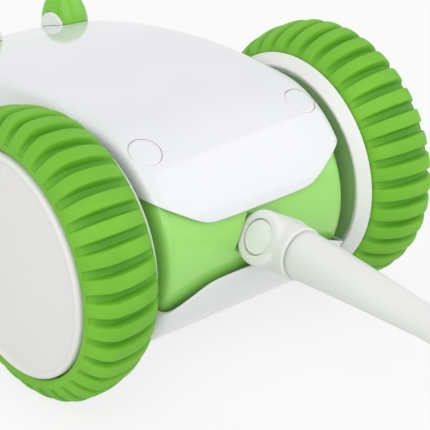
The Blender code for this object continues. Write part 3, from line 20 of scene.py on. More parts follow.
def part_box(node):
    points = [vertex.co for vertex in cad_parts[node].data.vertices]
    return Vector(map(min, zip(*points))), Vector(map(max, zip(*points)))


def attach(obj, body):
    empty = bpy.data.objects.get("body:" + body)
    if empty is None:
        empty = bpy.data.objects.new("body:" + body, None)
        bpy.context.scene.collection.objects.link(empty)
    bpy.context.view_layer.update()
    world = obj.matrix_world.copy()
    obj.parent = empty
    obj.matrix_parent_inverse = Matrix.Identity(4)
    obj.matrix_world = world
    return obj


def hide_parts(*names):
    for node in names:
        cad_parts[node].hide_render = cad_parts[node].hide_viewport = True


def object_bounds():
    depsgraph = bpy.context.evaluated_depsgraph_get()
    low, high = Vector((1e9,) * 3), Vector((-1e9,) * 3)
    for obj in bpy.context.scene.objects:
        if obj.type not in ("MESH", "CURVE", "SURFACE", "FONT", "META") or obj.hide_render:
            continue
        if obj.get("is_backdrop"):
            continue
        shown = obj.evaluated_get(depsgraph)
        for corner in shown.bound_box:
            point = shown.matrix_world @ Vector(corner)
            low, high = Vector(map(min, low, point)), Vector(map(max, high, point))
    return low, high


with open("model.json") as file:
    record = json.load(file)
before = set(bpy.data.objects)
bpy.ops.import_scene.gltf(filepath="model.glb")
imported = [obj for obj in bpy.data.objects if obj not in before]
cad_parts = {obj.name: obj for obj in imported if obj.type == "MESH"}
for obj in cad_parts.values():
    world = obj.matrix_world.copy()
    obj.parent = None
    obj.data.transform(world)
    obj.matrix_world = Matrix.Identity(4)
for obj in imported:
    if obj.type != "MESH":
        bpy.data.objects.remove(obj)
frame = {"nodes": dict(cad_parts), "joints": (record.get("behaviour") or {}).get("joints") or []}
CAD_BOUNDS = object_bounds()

LOG = logging.getLogger("feather_toy")
PHOTO_PIXELS = 430
FIT_GAP = 0.0003
FULL_TURN = 2 * math.pi
COAT_ROUGHNESS = 0.06
ORIGIN = Vector((0, 0, 0))
X_AXIS = Vector((1, 0, 0))
Y_AXIS = Vector((0, 1, 0))

Colour = tuple[float, float, float]
Point = tuple[float, float]
Ring = Sequence[Vector]


class Side(Enum):
    """Which side of the toy a piece is on, as the sign of its X."""

    LEFT = -1
    RIGHT = 1

    @property
    def word(self) -> str:
        """Name of the side as it ends a node's name."""
        return self.name.lower()


def middle_of(node: str) -> Vector:
    """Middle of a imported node's box."""
    low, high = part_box(node)
    return (low + high) / 2


def half_height(node: str) -> float:
    """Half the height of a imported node's box, which is a round node's radius."""
    low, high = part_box(node)
    return (high.z - low.z) / 2


def around(steps: int) -> list[float]:
    """Angles of even steps round a full turn."""
    return [FULL_TURN * k / steps for k in range(steps)]


def last_inside(far: float, rounds: int, holds: Callable[[float], bool]) -> float:
    """Find where a test stops holding, by halving.

    Args:
        far: a value at which it no longer holds.
        rounds: how often the gap is halved.
        holds: the test, which holds at zero.

    Returns:
        The largest value found at which it holds.
    """
    near = 0.0
    for _ in range(rounds):
        middle = (near + far) / 2
        if holds(middle):
            near = middle
        else:
            far = middle
    return near


AXLE = (middle_of("hub_left") + middle_of("hub_right")) / 2


# Node trees

@dataclass
class Bench:
    """A node tree with short ways to add and join its nodes.

    Args:
        tree: the shader or geometry node tree that is worked on.
    """

    tree: bpy.types.NodeTree

    def add(self, kind: str, feeds: dict[str | int, object] | None = None,
            **settings: object) -> bpy.types.Node:
        """Add a node.

        Args:
            kind: the node's type name.
            feeds: what goes into its inputs, by name or number.
            settings: its properties by name.

        Returns:
            The new node.
        """
        node = self.tree.nodes.new(kind)
        for name, value in settings.items():
            setattr(node, name, value)
        self.feed(node, feeds or {})
        return node

    def feed(self, node: bpy.types.Node, feeds: dict[str | int, object]) -> None:
        """Feed a node's inputs, by name or number, from sockets or with plain values."""
        for key, source in feeds.items():
            self.join(source, node.inputs[key])

    def join(self, source: object, target: bpy.types.NodeSocket) -> None:
        """Feed a socket from another one, or give it a plain value.

        Args:
            source: another socket or a plain value.
            target: the socket that is fed.
        """
        if isinstance(source, bpy.types.NodeSocket):
            self.tree.links.new(source, target)
        else:
            target.default_value = source

    def math(self, operation: str, *values: object) -> bpy.types.NodeSocket:
        """Add a Math node.

        Args:
            operation: what it works out.
            values: its inputs, sockets or numbers.

        Returns:
            The result's socket.
        """
        return self.add("ShaderNodeMath", dict(enumerate(values)), operation=operation).outputs[0]

    def vector_math(self, operation: str, *values: object) -> bpy.types.NodeSocket:
        """Add a Vector Math node and give its vector socket."""
        return self.add("ShaderNodeVectorMath", dict(enumerate(values)), operation=operation).outputs[0]

    def scaled(self, vector: object, factor: object) -> bpy.types.NodeSocket:
        """Scale a vector by a factor and give the result's socket."""
        return self.add("ShaderNodeVectorMath", {0: vector, "Scale": factor}, operation="SCALE").outputs[0]

    def spread(self, value: object, low: object, high: object, start: object, end: object,
               smooth: bool = False) -> bpy.types.NodeSocket:
        """Map one range of a value to another.

        Args:
            value: the value that is mapped.
            low: where its range begins.
            high: where its range ends.
            start: the result at low.
            end: the result at high.
            smooth: whether the result eases in and out.

        Returns:
            The result's socket.
        """
        node = self.add("ShaderNodeMapRange", dict(enumerate((value, low, high, start, end))),
                        interpolation_type="SMOOTHSTEP" if smooth else "LINEAR")
        return node.outputs[0]

    def blend(self, share: object, first: object, second: object) -> bpy.types.NodeSocket:
        """Mix two colours by a share and give the result's socket.

        Args:
            share: share of the second colour.
            first: the first colour.
            second: the second colour.

        Returns:
            The mixed colour's socket.
        """
        node = self.add("ShaderNodeMix", data_type="RGBA")
        for name, source in (("Factor_Float", share), ("A_Color", first), ("B_Color", second)):
            socket = next(item for item in node.inputs if item.identifier == name)
            self.join(source, socket)
        return next(item for item in node.outputs if item.identifier == "Result_Color")

    def noise(self, place: object, scale: object, detail: float = 2.0) -> bpy.types.NodeSocket:
        """Add a Noise texture and give its value socket."""
        feeds = {"Vector": place, "Scale": scale, "Detail": detail}
        return self.add("ShaderNodeTexNoise", feeds).outputs["Fac"]

    def named(self, name: str, kind: str = "FLOAT") -> bpy.types.NodeSocket:
        """Read a mesh attribute in a geometry tree and give its socket."""
        node = self.add("GeometryNodeInputNamedAttribute", {"Name": name}, data_type=kind)
        return node.outputs["Attribute"]


def open_tree(name: str, kind: str, inputs: dict[str, tuple[str, object]],
              outputs: dict[str, str]) -> tuple[Bench, dict, dict]:
    """Start a node group with named sockets.

    Args:
        name: the group's name.
        kind: ShaderNodeTree or GeometryNodeTree.
        inputs: socket name to its kind and its usual value.
        outputs: socket name to its kind.

    Returns:
        The bench, the input sockets by name and the output sockets by name.
    """
    tree = bpy.data.node_groups.new(name, kind)
    for label, (socket_kind, value) in inputs.items():
        socket = tree.interface.new_socket(label, in_out="INPUT", socket_type=socket_kind)
        if value is not None:
            socket.default_value = value
    for label, socket_kind in outputs.items():
        tree.interface.new_socket(label, in_out="OUTPUT", socket_type=socket_kind)
    bench = Bench(tree)
    entry, leaving = bench.add("NodeGroupInput"), bench.add("NodeGroupOutput")
    return bench, {item.name: item for item in entry.outputs}, {item.name: item for item in leaving.inputs}


# Effects shared by several finishes

FLOAT = "NodeSocketFloat"
COLOR = "NodeSocketColor"


@lru_cache(maxsize=None)
def moulded_skin() -> bpy.types.NodeTree:
    """Build the fine relief and uneven shine of a moulded surface.

    Returns:
        A group that puts out a roughness and a normal.
    """
    bench, given, wanted = open_tree(
        "moulded_skin", "ShaderNodeTree",
        {"Shine": (FLOAT, 0.3), "Unevenness": (FLOAT, 0.05), "Patch Scale": (FLOAT, 60.0),
         "Grain Scale": (FLOAT, 900.0), "Grain Depth": (FLOAT, 0.00001)},
        {"Roughness": FLOAT, "Normal": "NodeSocketVector"})
    place = bench.add("ShaderNodeTexCoord").outputs["Object"]
    patches = bench.noise(place, given["Patch Scale"], 3.0)
    offset = bench.math("MULTIPLY", bench.math("SUBTRACT", patches, 0.5), given["Unevenness"])
    bench.join(bench.math("ADD", given["Shine"], bench.math("MULTIPLY", offset, 2.0)), wanted["Roughness"])
    grain = bench.noise(place, given["Grain Scale"], 3.0)
    bump = bench.add("ShaderNodeBump", {"Strength": 1.0, "Distance": given["Grain Depth"], "Height": grain})
    bench.join(bump.outputs["Normal"], wanted["Normal"])
    return bench.tree


@lru_cache(maxsize=None)
def colour_drift() -> bpy.types.NodeTree:
    """Build the slow change of shade across a moulded piece.

    Returns:
        A group that puts out a colour between two others.
    """
    bench, given, wanted = open_tree(
        "colour_drift", "ShaderNodeTree",
        {"Colour": (COLOR, (0.5, 0.5, 0.5, 1)), "Shade": (COLOR, (0.4, 0.4, 0.4, 1)),
         "Cloud Scale": (FLOAT, 30.0), "Speckle Scale": (FLOAT, 700.0), "Speckle": (FLOAT, 0.2)},
        {"Colour": COLOR})
    place = bench.add("ShaderNodeTexCoord").outputs["Object"]
    cloud = bench.spread(bench.noise(place, given["Cloud Scale"], 2.0), 0.35, 0.7, 0.0, 1.0, True)
    fine = bench.noise(place, given["Speckle Scale"], 1.0)
    speckle = bench.spread(fine, 0.45, 0.75, 0.0, given["Speckle"])
    share = bench.math("MINIMUM", bench.math("ADD", cloud, speckle), 1.0)
    bench.join(bench.blend(share, given["Colour"], given["Shade"]), wanted["Colour"])
    return bench.tree


@lru_cache(maxsize=None)
def brushed_lines() -> bpy.types.NodeTree:
    """Build the fine lines that machining leaves on metal.

    Returns:
        A group that puts out a roughness and a normal.
    """
    bench, given, wanted = open_tree(
        "brushed_lines", "ShaderNodeTree",
        {"Shine": (FLOAT, 0.3), "Line Scale": (FLOAT, 2500.0), "Line Depth": (FLOAT, 0.000004)},
        {"Roughness": FLOAT, "Normal": "NodeSocketVector"})
    place = bench.add("ShaderNodeTexCoord").outputs["Object"]
    stretched = bench.vector_math("MULTIPLY", place, (1.0, 0.04, 0.04))
    lines = bench.noise(stretched, given["Line Scale"], 2.0)
    bench.join(bench.math("ADD", given["Shine"], bench.math("MULTIPLY", lines, 0.12)), wanted["Roughness"])
    bump = bench.add("ShaderNodeBump", {"Distance": given["Line Depth"], "Height": lines})
    bench.join(bump.outputs["Normal"], wanted["Normal"])
    return bench.tree


# Finishes

@dataclass(frozen=True)
class Finish:
    """A moulded finish with a drifting shade, uneven shine and fine relief.

    Args:
        name: the material's name.
        slot: the record's material slot.
        colour: its main colour.
        shade: the colour that it drifts to.
        shine: roughness.
        unevenness: how far the roughness wanders.
        grain_scale: how many grains of relief a metre holds, roughly.
        grain_depth: depth of the relief.
        coat: weight of a clear gloss over it.
        metallic: whether it is metal.
        cloud_scale: how many clouds of the other shade a metre holds, roughly.
        speckle: strength of the fine speckles of the other shade.
    """

    name: str
    slot: str
    colour: Colour
    shade: Colour
    shine: float = 0.3
    unevenness: float = 0.03
    grain_scale: float = 900.0
    grain_depth: float = 0.000006
    coat: float = 0.0
    metallic: float = 0.0
    cloud_scale: float = 30.0
    speckle: float = 0.15

    def colour_socket(self, bench: Bench) -> bpy.types.NodeSocket:
        """Add the nodes that give the finish its colour.

        Args:
            bench: the material's bench.

        Returns:
            The colour's socket.
        """
        feeds = {"Colour": (*self.colour, 1), "Shade": (*self.shade, 1), "Cloud Scale": self.cloud_scale,
                 "Speckle": self.speckle}
        return bench.add("ShaderNodeGroup", feeds, node_tree=colour_drift()).outputs["Colour"]

    def relief(self, bench: Bench) -> bpy.types.Node:
        """Add the group that gives the finish its roughness and normal.

        Args:
            bench: the material's bench.

        Returns:
            The group's node, with Roughness and Normal outputs.
        """
        feeds = {"Shine": self.shine, "Unevenness": self.unevenness, "Grain Scale": self.grain_scale,
                 "Grain Depth": self.grain_depth}
        return bench.add("ShaderNodeGroup", feeds, node_tree=moulded_skin())

    def plain_values(self) -> dict[str, float]:
        """Inputs of the shader that are the same all over the surface."""
        return {"Metallic": self.metallic, "Coat Weight": self.coat, "Coat Roughness": COAT_ROUGHNESS}

    def material(self) -> bpy.types.Material:
        """Make the material once, and give the same one later.

        Returns:
            The finish's material.
        """
        made = bpy.data.materials.get(self.name)
        if made:
            return made
        made = bpy.data.materials.new(self.name)
        made.use_nodes = True
        made.diffuse_color = (*self.colour, 1)
        bench = Bench(made.node_tree)
        shader = made.node_tree.nodes["Principled BSDF"]
        bench.feed(shader, self.plain_values())
        bench.join(self.colour_socket(bench), shader.inputs["Base Color"])
        relief = self.relief(bench)
        bench.feed(shader, {name: relief.outputs[name] for name in ("Roughness", "Normal")})
        return made


@dataclass(frozen=True)
class Metal(Finish):
    """A machined metal with fine lines along X."""

    metallic: float = 1.0

    def relief(self, bench: Bench) -> bpy.types.Node:
        """Add the group that gives the metal its lines."""
        return bench.add("ShaderNodeGroup", {"Shine": self.shine}, node_tree=brushed_lines())


@dataclass(frozen=True)
class TwoTone(Finish):
    """Finish that turns to a second colour where a mesh attribute is high: painted shade in the tyre's
    grooves, painted shade with a painted green reflection on the hub's sunk web, and lighter tips on the
    feathers.

    Args:
        second: the second colour.
        attribute: the attribute.
        turn_at: its value where the colour begins to turn.
        most: the greatest share of the second colour.
    """

    # The default second colour is the painted shade on the floors of the tyre's grooves.
    second: Colour = (0.07, 0.30, 0.010)
    attribute: str = "groove"
    turn_at: float = 0.15
    most: float = 0.75

    def colour_socket(self, bench: Bench) -> bpy.types.NodeSocket:
        """Add the colour, which turns to the second one where the attribute is high.

        Args:
            bench: the material's bench.

        Returns:
            The colour's socket.
        """
        plain = super().colour_socket(bench)
        value = bench.add("ShaderNodeAttribute", attribute_name=self.attribute).outputs["Fac"]
        share = bench.spread(value, self.turn_at, 1.0, 0.0, self.most, True)
        return bench.blend(share, plain, (*self.second, 1))


@dataclass(frozen=True)
class Plumage(TwoTone):
    """Soft feather finish that turns to another colour towards the tip."""

    second: Colour = (0.9, 0.9, 0.86)
    attribute: str = "along"
    turn_at: float = 0.35
    most: float = 0.8

    def plain_values(self) -> dict[str, float]:
        """Inputs of the shader, with the soft sheen that barbs have."""
        return super().plain_values() | {"Sheen Weight": 0.35, "Specular IOR Level": 0.2}


RING_LOOK = ("satin_white", (0.82, 0.83, 0.81), (0.79, 0.80, 0.775), 0.30, 0.05, 1500.0, 0.000005)
DOWN = {"shine": 0.80, "unevenness": 0.08, "grain_scale": 3000.0, "grain_depth": 0.00001,
        "cloud_scale": 160.0}

WHITE_GLOSS = Finish("shell_gloss", "shell_white", (0.78, 0.785, 0.81), (0.755, 0.76, 0.785), 0.10, 0.03,
                     140.0, 0.000012, coat=0.5, speckle=0.05)
WHITE_SATIN = Finish("satin_white_plastic", "satin_white", (0.78, 0.785, 0.77), (0.75, 0.755, 0.735),
                     0.34, 0.05, 1500.0, 0.000005)
RING_WHITE = Finish("ring_white_plastic", *RING_LOOK)
# The hub's second colour, on its sunk web, is painted shade with a painted green reflection.
HUB_WHITE = TwoTone("hub_white_plastic", *RING_LOOK, second=(0.17, 0.46, 0.04))
CAP_GREY = Finish("cap_satin", "warm_grey", (0.765, 0.755, 0.745), (0.745, 0.735, 0.725),
                  0.42, 0.05, 2200.0, 0.000008, cloud_scale=18.0)
BODY_GREEN = Finish("body_gloss_green", "body_green", (0.325, 0.71, 0.145), (0.295, 0.68, 0.125),
                    0.14, 0.03, 160.0, 0.000010, coat=0.4, speckle=0.05)
EAR_GREEN = Finish("ear_gloss_green", "ear_green", (0.185, 0.56, 0.024), (0.165, 0.52, 0.020),
                   0.22, 0.03, 300.0, 0.000006, coat=0.2)
# The tyre turns darker towards its groove floors: painted shade.
TYRE_GREEN = TwoTone("tyre_soft_green", "tyre_green", (0.175, 0.495, 0.020), (0.15, 0.450, 0.017),
                     0.62, 0.08, 2600.0, 0.000020, cloud_scale=90.0, speckle=0.3)
WINDOW_BLACK = Finish("window_smoked", "window_black", (0.020, 0.018, 0.024), (0.030, 0.022, 0.030),
                      0.08, 0.02, 120.0, 0.000004, coat=0.8)
STEEL = Metal("steel_bright", "steel", (0.60, 0.60, 0.62), (0.52, 0.52, 0.54), 0.26)
BRASS = Metal("brass_turned", "brass", (0.76, 0.58, 0.26), (0.66, 0.48, 0.20), 0.28)
NYLON = Finish("gear_nylon", "nylon", (0.76, 0.74, 0.66), (0.70, 0.68, 0.60), 0.40, 0.06)
DARK_RUBBER = Finish("dark_rubber_soft", "dark_rubber", (0.045, 0.045, 0.047), (0.07, 0.07, 0.07),
                     0.62, 0.08, 2000.0, 0.000015)
BOARD = Finish("board_lacquer", "board_green", (0.02, 0.20, 0.08), (0.03, 0.27, 0.12), 0.30, 0.05,
               cloud_scale=420.0, coat=0.3)
CELL = Finish("cell_film", "cell_blue", (0.06, 0.16, 0.45), (0.05, 0.13, 0.38), 0.22, 0.05, coat=0.3)
FEATHER_WHITE = Plumage("feather_white_down", "feather_white", (0.80, 0.79, 0.75), (0.68, 0.67, 0.63),
                        **DOWN)
FEATHER_GREEN = Plumage("feather_green_down", "feather_green", (0.20, 0.56, 0.05), (0.13, 0.42, 0.03),
                        second=(0.42, 0.74, 0.16), **DOWN)


# Meshes

def put(name: str, data: bpy.types.ID) -> bpy.types.Object:
    """Put an object with its data into the scene.

    Args:
        name: the object's name.
        data: its mesh, lamp or camera.

    Returns:
        The object.
    """
    item = bpy.data.objects.new(name, data)
    bpy.context.scene.collection.objects.link(item)
    return item


def add_mesh(name: str, points: Iterable[Sequence[float]], faces: Iterable[Sequence[int]],
             turn_outward: bool = True) -> bpy.types.Object:
    """Make an object from points in the model's frame.

    Args:
        name: the object's name.
        points: the mesh's points.
        faces: their numbers, face by face.
        turn_outward: whether a closed mesh has its faces turned outward.

    Returns:
        The object, in the scene, at the origin.
    """
    mesh = bpy.data.meshes.new(name)
    mesh.from_pydata([tuple(point) for point in points], [], [tuple(face) for face in faces])
    if turn_outward:
        work = bmesh.new()
        work.from_mesh(mesh)
        bmesh.ops.remove_doubles(work, verts=work.verts, dist=FIT_GAP / 1000)
        bmesh.ops.recalc_face_normals(work, faces=work.faces)
        work.to_mesh(mesh)
        work.free()
    return put(name, mesh)


def loft(name: str, rings: Sequence[Ring], looped: bool = False) -> bpy.types.Object:
    """Join equal rings into a solid.

    Args:
        name: the object's name.
        rings: rings of points in order.
        looped: whether the last ring joins the first; otherwise each end gets a face.

    Returns:
        The solid.
    """
    count = len(rings[0])
    total = len(rings)
    points = [point for ring in rings for point in ring]
    faces = []
    for k in range(total if looped else total - 1):
        low, high = k * count, (k + 1) % total * count
        for i in range(count):
            j = (i + 1) % count
            faces.append((low + i, low + j, high + j, high + i))
    if not looped:
        faces.append(tuple(range(count)))
        faces.append(tuple(reversed(range((total - 1) * count, total * count))))
    return add_mesh(name, points, faces)


def turned(name: str, profile: Sequence[Point], steps: int, axis: Vector = X_AXIS,
           centre: Vector = ORIGIN, ring: bool = False) -> bpy.types.Object:
    """Turn a profile about an axis.

    Args:
        name: the object's name.
        profile: (place along the axis, radius) pairs, closed in itself for a ring.
        steps: steps round the axis.
        axis: the axis' direction.
        centre: a point on the axis.
        ring: whether the profile is a closed section rather than a solid's outline.

    Returns:
        The turned solid.
    """
    along = axis.normalized()
    across = along.orthogonal().normalized()
    up = along.cross(across)

    def place(place_along: float, radius: float, turn: float) -> Vector:
        """Point of the profile at one turn."""
        return centre + place_along * along + radius * (math.cos(turn) * across + math.sin(turn) * up)

    turns = around(steps)
    if ring:
        return loft(name, [[place(x, r, turn) for x, r in profile] for turn in turns], True)
    return loft(name, [[place(x, r, turn) for turn in turns] for x, r in profile])


def bar(name: str, ends: Point, radius: float, steps: int, axis: Vector = X_AXIS,
        centre: Vector = ORIGIN) -> bpy.types.Object:
    """Make a round bar, used as a cutter.

    Args:
        name: the object's name.
        ends: where it begins and ends along the axis.
        radius: its radius.
        steps: steps round the axis.
        axis: the axis' direction.
        centre: the point on the axis that its ends are measured from.

    Returns:
        The bar.
    """
    return turned(name, [(end, radius) for end in ends], steps, axis, centre)


def block(name: str, low: Vector, high: Vector) -> bpy.types.Object:
    """Make a box between two corners, used as a cutter."""
    outline = [(low.x, low.y), (high.x, low.y), (high.x, high.y), (low.x, high.y)]
    return loft(name, [[Vector((x, y, z)) for x, y in outline] for z in (low.z, high.z)])


def rounded(start: Point, end: Point, steps: int, lengthwise_first: bool,
            fullness: float = 2.0) -> list[Point]:
    """Quarter oval between two points of a profile.

    Args:
        start: the first point.
        end: the last point.
        steps: steps along it.
        lengthwise_first: whether it sets out along the axis rather than away from it.
        fullness: power of the oval; 2 is round and 1 is straight.

    Returns:
        The points, both ends included.
    """
    points = []
    for k in range(steps + 1):
        turn = math.pi / 2 * k / steps
        fast = math.sin(turn) ** (2 / fullness)
        slow = 1 - max(0.0, math.cos(turn)) ** (2 / fullness)
        along, out = (fast, slow) if lengthwise_first else (slow, fast)
        points.append((start[0] + (end[0] - start[0]) * along, start[1] + (end[1] - start[1]) * out))
    return points


def softened(points: Sequence[Point], count: int, passes: int) -> list[Point]:
    """Evenly spaced points along a profile, with its corners rounded off.

    Args:
        points: the profile's points.
        count: how many points come back.
        passes: how often each point moves towards its neighbours.

    Returns:
        The new points, with both ends in place.
    """
    path = np.array(points)
    reach = np.concatenate([[0.0], np.cumsum(np.hypot(*np.diff(path, axis=0).T))])
    even = np.linspace(0.0, reach[-1], count)
    path = np.stack([np.interp(even, reach, path[:, 0]), np.interp(even, reach, path[:, 1])], axis=1)
    for _ in range(passes):
        path[1:-1] = (path[:-2] + 2 * path[1:-1] + path[2:]) / 4
    return [(float(x), float(r)) for x, r in path]


def bake_modifiers(item: bpy.types.Object) -> None:
    """Turn an object's modifiers into plain mesh.

    Args:
        item: the object, which keeps its name.
    """
    bpy.context.view_layer.update()
    graph = bpy.context.evaluated_depsgraph_get()
    mesh = bpy.data.meshes.new_from_object(item.evaluated_get(graph), depsgraph=graph)
    item.modifiers.clear()
    item.data = mesh


def combine(item: bpy.types.Object, operation: str, *others: bpy.types.Object) -> None:
    """Cut solids out of an object, or fuse them to it, and remove them.

    Args:
        item: the object.
        operation: DIFFERENCE or UNION.
        others: the solids.
    """
    for other in others:
        step = item.modifiers.new(other.name, "BOOLEAN")
        step.operation = operation
        step.object = other
        step.solver = "EXACT"
    bake_modifiers(item)
    for other in others:
        bpy.data.objects.remove(other)


def grow(item: bpy.types.Object, tree: bpy.types.NodeTree, values: dict[str, object]) -> None:
    """Run a geometry node tree on an object and keep its result as plain mesh.

    Args:
        item: the object.
        tree: the tree.
        values: its inputs by name.
    """
    step = item.modifiers.new(tree.name, "NODES")
    step.node_group = tree
    for socket in tree.interface.items_tree:
        if socket.item_type == "SOCKET" and socket.in_out == "INPUT" and socket.name in values:
            step[socket.identifier] = values[socket.name]
    bake_modifiers(item)


def store_values(mesh: bpy.types.Mesh, name: str, values: Sequence[float], kind: str = "FLOAT") -> None:
    """Store an attribute of a mesh's points.

    Args:
        mesh: the mesh.
        name: the attribute's name.
        values: its values, point by point.
        kind: FLOAT, or FLOAT_VECTOR with three values for each point.
    """
    layer = mesh.attributes.new(name, kind, "POINT")
    layer.data.foreach_set("value" if kind == "FLOAT" else "vector", values)


def radii_of(item: bpy.types.Object) -> list[float]:
    """Distance of each of an object's points from the line of the axle."""
    return [math.hypot(point.co.y - AXLE.y, point.co.z - AXLE.z) for point in item.data.vertices]


def settle(item: bpy.types.Object, body: str, finish: Finish, node: str, smooth: float = 35.0) -> None:
    """Shade a finished piece, give it its material and let it ride.

    Args:
        item: the piece.
        body: the body that it moves with.
        finish: its finish.
        node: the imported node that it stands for.
        smooth: the angle in degrees past which an edge stays sharp.
    """
    mesh = item.data
    mesh.materials.clear()
    mesh.materials.append(finish.material())
    mesh.shade_smooth()
    mesh.set_sharp_from_angle(angle=math.radians(smooth))
    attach(item, body)
    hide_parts(node)
    LOG.info("%s: %d faces, on %s", item.name, len(mesh.polygons), body)


def dress(node: str, finish: Finish) -> None:
    """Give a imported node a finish.

    Args:
        node: the node's name.
        finish: its finish.
    """
    item = frame["nodes"][node]
    if not item.data.materials:
        item.data.materials.append(finish.material())
    for slot in item.material_slots:
        slot.link = "OBJECT"
        slot.material = finish.material()
    LOG.info("%s dressed in %s", node, finish.name)


# Body surface

@dataclass(frozen=True)
class BodySurface:
    """Outer surface of the body about the axle: a drum behind, a long rounded nose in front."""

    shell_radius: float = 0.026
    belly_radius: float = 0.027
    crown_reach: float = 0.031
    crown_height: float = 0.0281
    nose_reach: float = 0.0912
    belly_flat_reach: float = 0.022
    nose_power: float = 2.73
    chin_power: float = 2.2
    half_width: float = 0.0275
    drum_squareness: float = 24.0
    nose_squareness: float = 3.47
    square_until_share: float = 0.13
    round_from_share: float = 0.93
    wrap_share: float = 0.985
    lean_rounds: int = 40
    flap_radius: float = 0.0218
    outline_steps: int = 120
    solid_steps: int = 180
    solid_columns: int = 48
    reach_rounds: int = 26

    @lru_cache(maxsize=None)
    def crown_lean(self) -> float:
        """Angle at which the roof leaves the drum's circle without a kink.

        Returns:
            The angle from straight up, in radians.
        """
        lean = 0.0
        for _ in range(self.lean_rounds):
            rise = self.crown_height - self.shell_radius * math.cos(lean)
            run = self.crown_reach + self.shell_radius * math.sin(lean)
            lean = math.atan(2 * rise / run)
        return lean

    @lru_cache(maxsize=None)
    def side_outline(self, under: float) -> np.ndarray:
        """Side view of the body, from the nose over the top to the chin.

        Args:
            under: radius of the drum's lower half.

        Returns:
            (Y, Z) pairs.
        """
        steps = self.outline_steps
        turns = np.linspace(0, math.pi / 2, steps)
        fall = np.cos(turns) ** (2 / self.nose_power)
        reach = self.crown_reach + (self.nose_reach - self.crown_reach) * fall
        front = np.stack([reach, self.crown_height * np.sin(turns) ** (2 / self.nose_power)], 1)
        lean = self.crown_lean()
        start = self.shell_radius * np.array([-math.sin(lean), math.cos(lean)])
        share = np.linspace(1, 0, steps)[1:]
        reach = start[0] + (self.crown_reach - start[0]) * share
        roof = np.stack([reach, self.crown_height - (self.crown_height - start[1]) * (1 - share) ** 2], 1)
        turns = np.linspace(lean, math.pi / 2, steps)[1:]
        back = self.shell_radius * np.stack([-np.sin(turns), np.cos(turns)], 1)
        turns = np.linspace(math.pi / 2, math.pi, steps)
        drum = under * np.stack([-np.sin(turns), np.cos(turns)], 1)
        turns = np.linspace(math.pi / 2, 0, steps)
        flat = self.belly_flat_reach
        reach = flat + (self.nose_reach - flat) * np.cos(turns) ** (2 / self.chin_power)
        chin = np.stack([reach, -under * np.sin(turns) ** (2 / self.chin_power)], 1)[:-1]
        return np.concatenate([front, roof, back, drum, chin])

    @lru_cache(maxsize=None)
    def side_polar(self, under: float, grow: float) -> tuple[np.ndarray, np.ndarray]:
        """Side outline moved outward, as sorted angles and radii about the axle.

        Args:
            under: radius of the drum's lower half.
            grow: how far outward the outline is moved.

        Returns:
            The angles and the radii.
        """
        points = self.side_outline(under)
        along = np.roll(points, -1, axis=0) - np.roll(points, 1, axis=0)
        along = along / np.maximum(np.hypot(along[:, 0], along[:, 1]), FIT_GAP / 1000)[:, None]
        moved = points + grow * np.stack([along[:, 1], -along[:, 0]], 1)
        angles = np.mod(np.arctan2(moved[:, 1], moved[:, 0]), 2 * math.pi)
        order = np.argsort(angles)
        return angles[order], np.hypot(moved[:, 0], moved[:, 1])[order]

    def side_radius(self, angle: float, under: float, grow: float) -> float:
        """Distance from the axle to the side outline at one angle."""
        angles, radii = self.side_polar(under, grow)
        return float(np.interp(angle % (2 * math.pi), angles, radii, period=2 * math.pi))

    def squareness(self, angle: float, under: float) -> float:
        """How square the body is across: nearly flat at the drum, rounder at the nose.

        Args:
            angle: angle about the axle.
            under: radius of the drum's lower half.

        Returns:
            The power of the oval across the body.
        """
        reach = self.side_radius(angle, under, 0) * math.cos(angle) / self.nose_reach
        share = (reach - self.square_until_share) / (self.round_from_share - self.square_until_share)
        share = min(max(share, 0), 1)
        share = share * share * (3 - 2 * share)
        return self.drum_squareness ** (1 - share) * self.nose_squareness ** share

    def column_point(self, angle: float, column: float, under: float, grow: float) -> Vector:
        """Point of the surface on a column that wraps over the side and runs down the side wall.

        Args:
            angle: angle about the axle, from the nose over the top.
            column: share of the wrapped width, up to 1, then on down the wall, up to 2.
            under: radius of the drum's lower half.
            grow: how far outward the surface is moved.

        Returns:
            The point, about the axle.
        """
        power = self.squareness(angle, under)
        if abs(column) <= 1:
            across = abs(column) * self.wrap_share
            fall = (1 - across ** power) ** (1 / power)
        else:
            corner = (1 - self.wrap_share ** power) ** (1 / power)
            flap = self.flap_radius / self.side_radius(angle, under, 0)
            fall = corner + (flap - corner) * (abs(column) - 1)
            across = (1 - fall ** power) ** (1 / power)
        width = math.copysign((self.half_width + grow) * across, column)
        radius = self.side_radius(angle, under, grow) * fall
        return Vector((width, radius * math.cos(angle), radius * math.sin(angle)))

    def inside(self, point: Vector, under: float, grow: float) -> bool:
        """Whether a point about the axle lies inside the surface.

        Args:
            point: the point.
            under: radius of the drum's lower half.
            grow: how far outward the surface is moved.

        Returns:
            Whether it is inside.
        """
        angle = math.atan2(point.z, point.y)
        across = abs(point.x) / (self.half_width + grow)
        if across >= 1:
            return False
        power = self.squareness(angle, under)
        fall = (1 - across ** power) ** (1 / power)
        return math.hypot(point.y, point.z) < self.side_radius(angle, under, grow) * fall

    def reach_along(self, start: Vector, direction: Vector, under: float, grow: float) -> float:
        """Distance from a point inside the surface to it, along a direction.

        Args:
            start: the point, about the axle.
            direction: a unit direction.
            under: radius of the drum's lower half.
            grow: how far outward the surface is moved.

        Returns:
            The distance.
        """
        return last_inside(2 * self.nose_reach, self.reach_rounds,
                           lambda reach: self.inside(start + reach * direction, under, grow))

    def column_shares(self, count: int) -> list[float]:
        """Shares of the wrapped width, evenly spaced round the nose.

        Args:
            count: how many gaps there are between the columns.

        Returns:
            The shares, from left to right.
        """
        limit = math.asin(self.wrap_share ** (self.nose_squareness / 2))
        turns = [limit * (2 * k / count - 1) for k in range(count + 1)]
        return [math.copysign(abs(math.sin(turn)) ** (2 / self.nose_squareness), turn) / self.wrap_share
                for turn in turns]

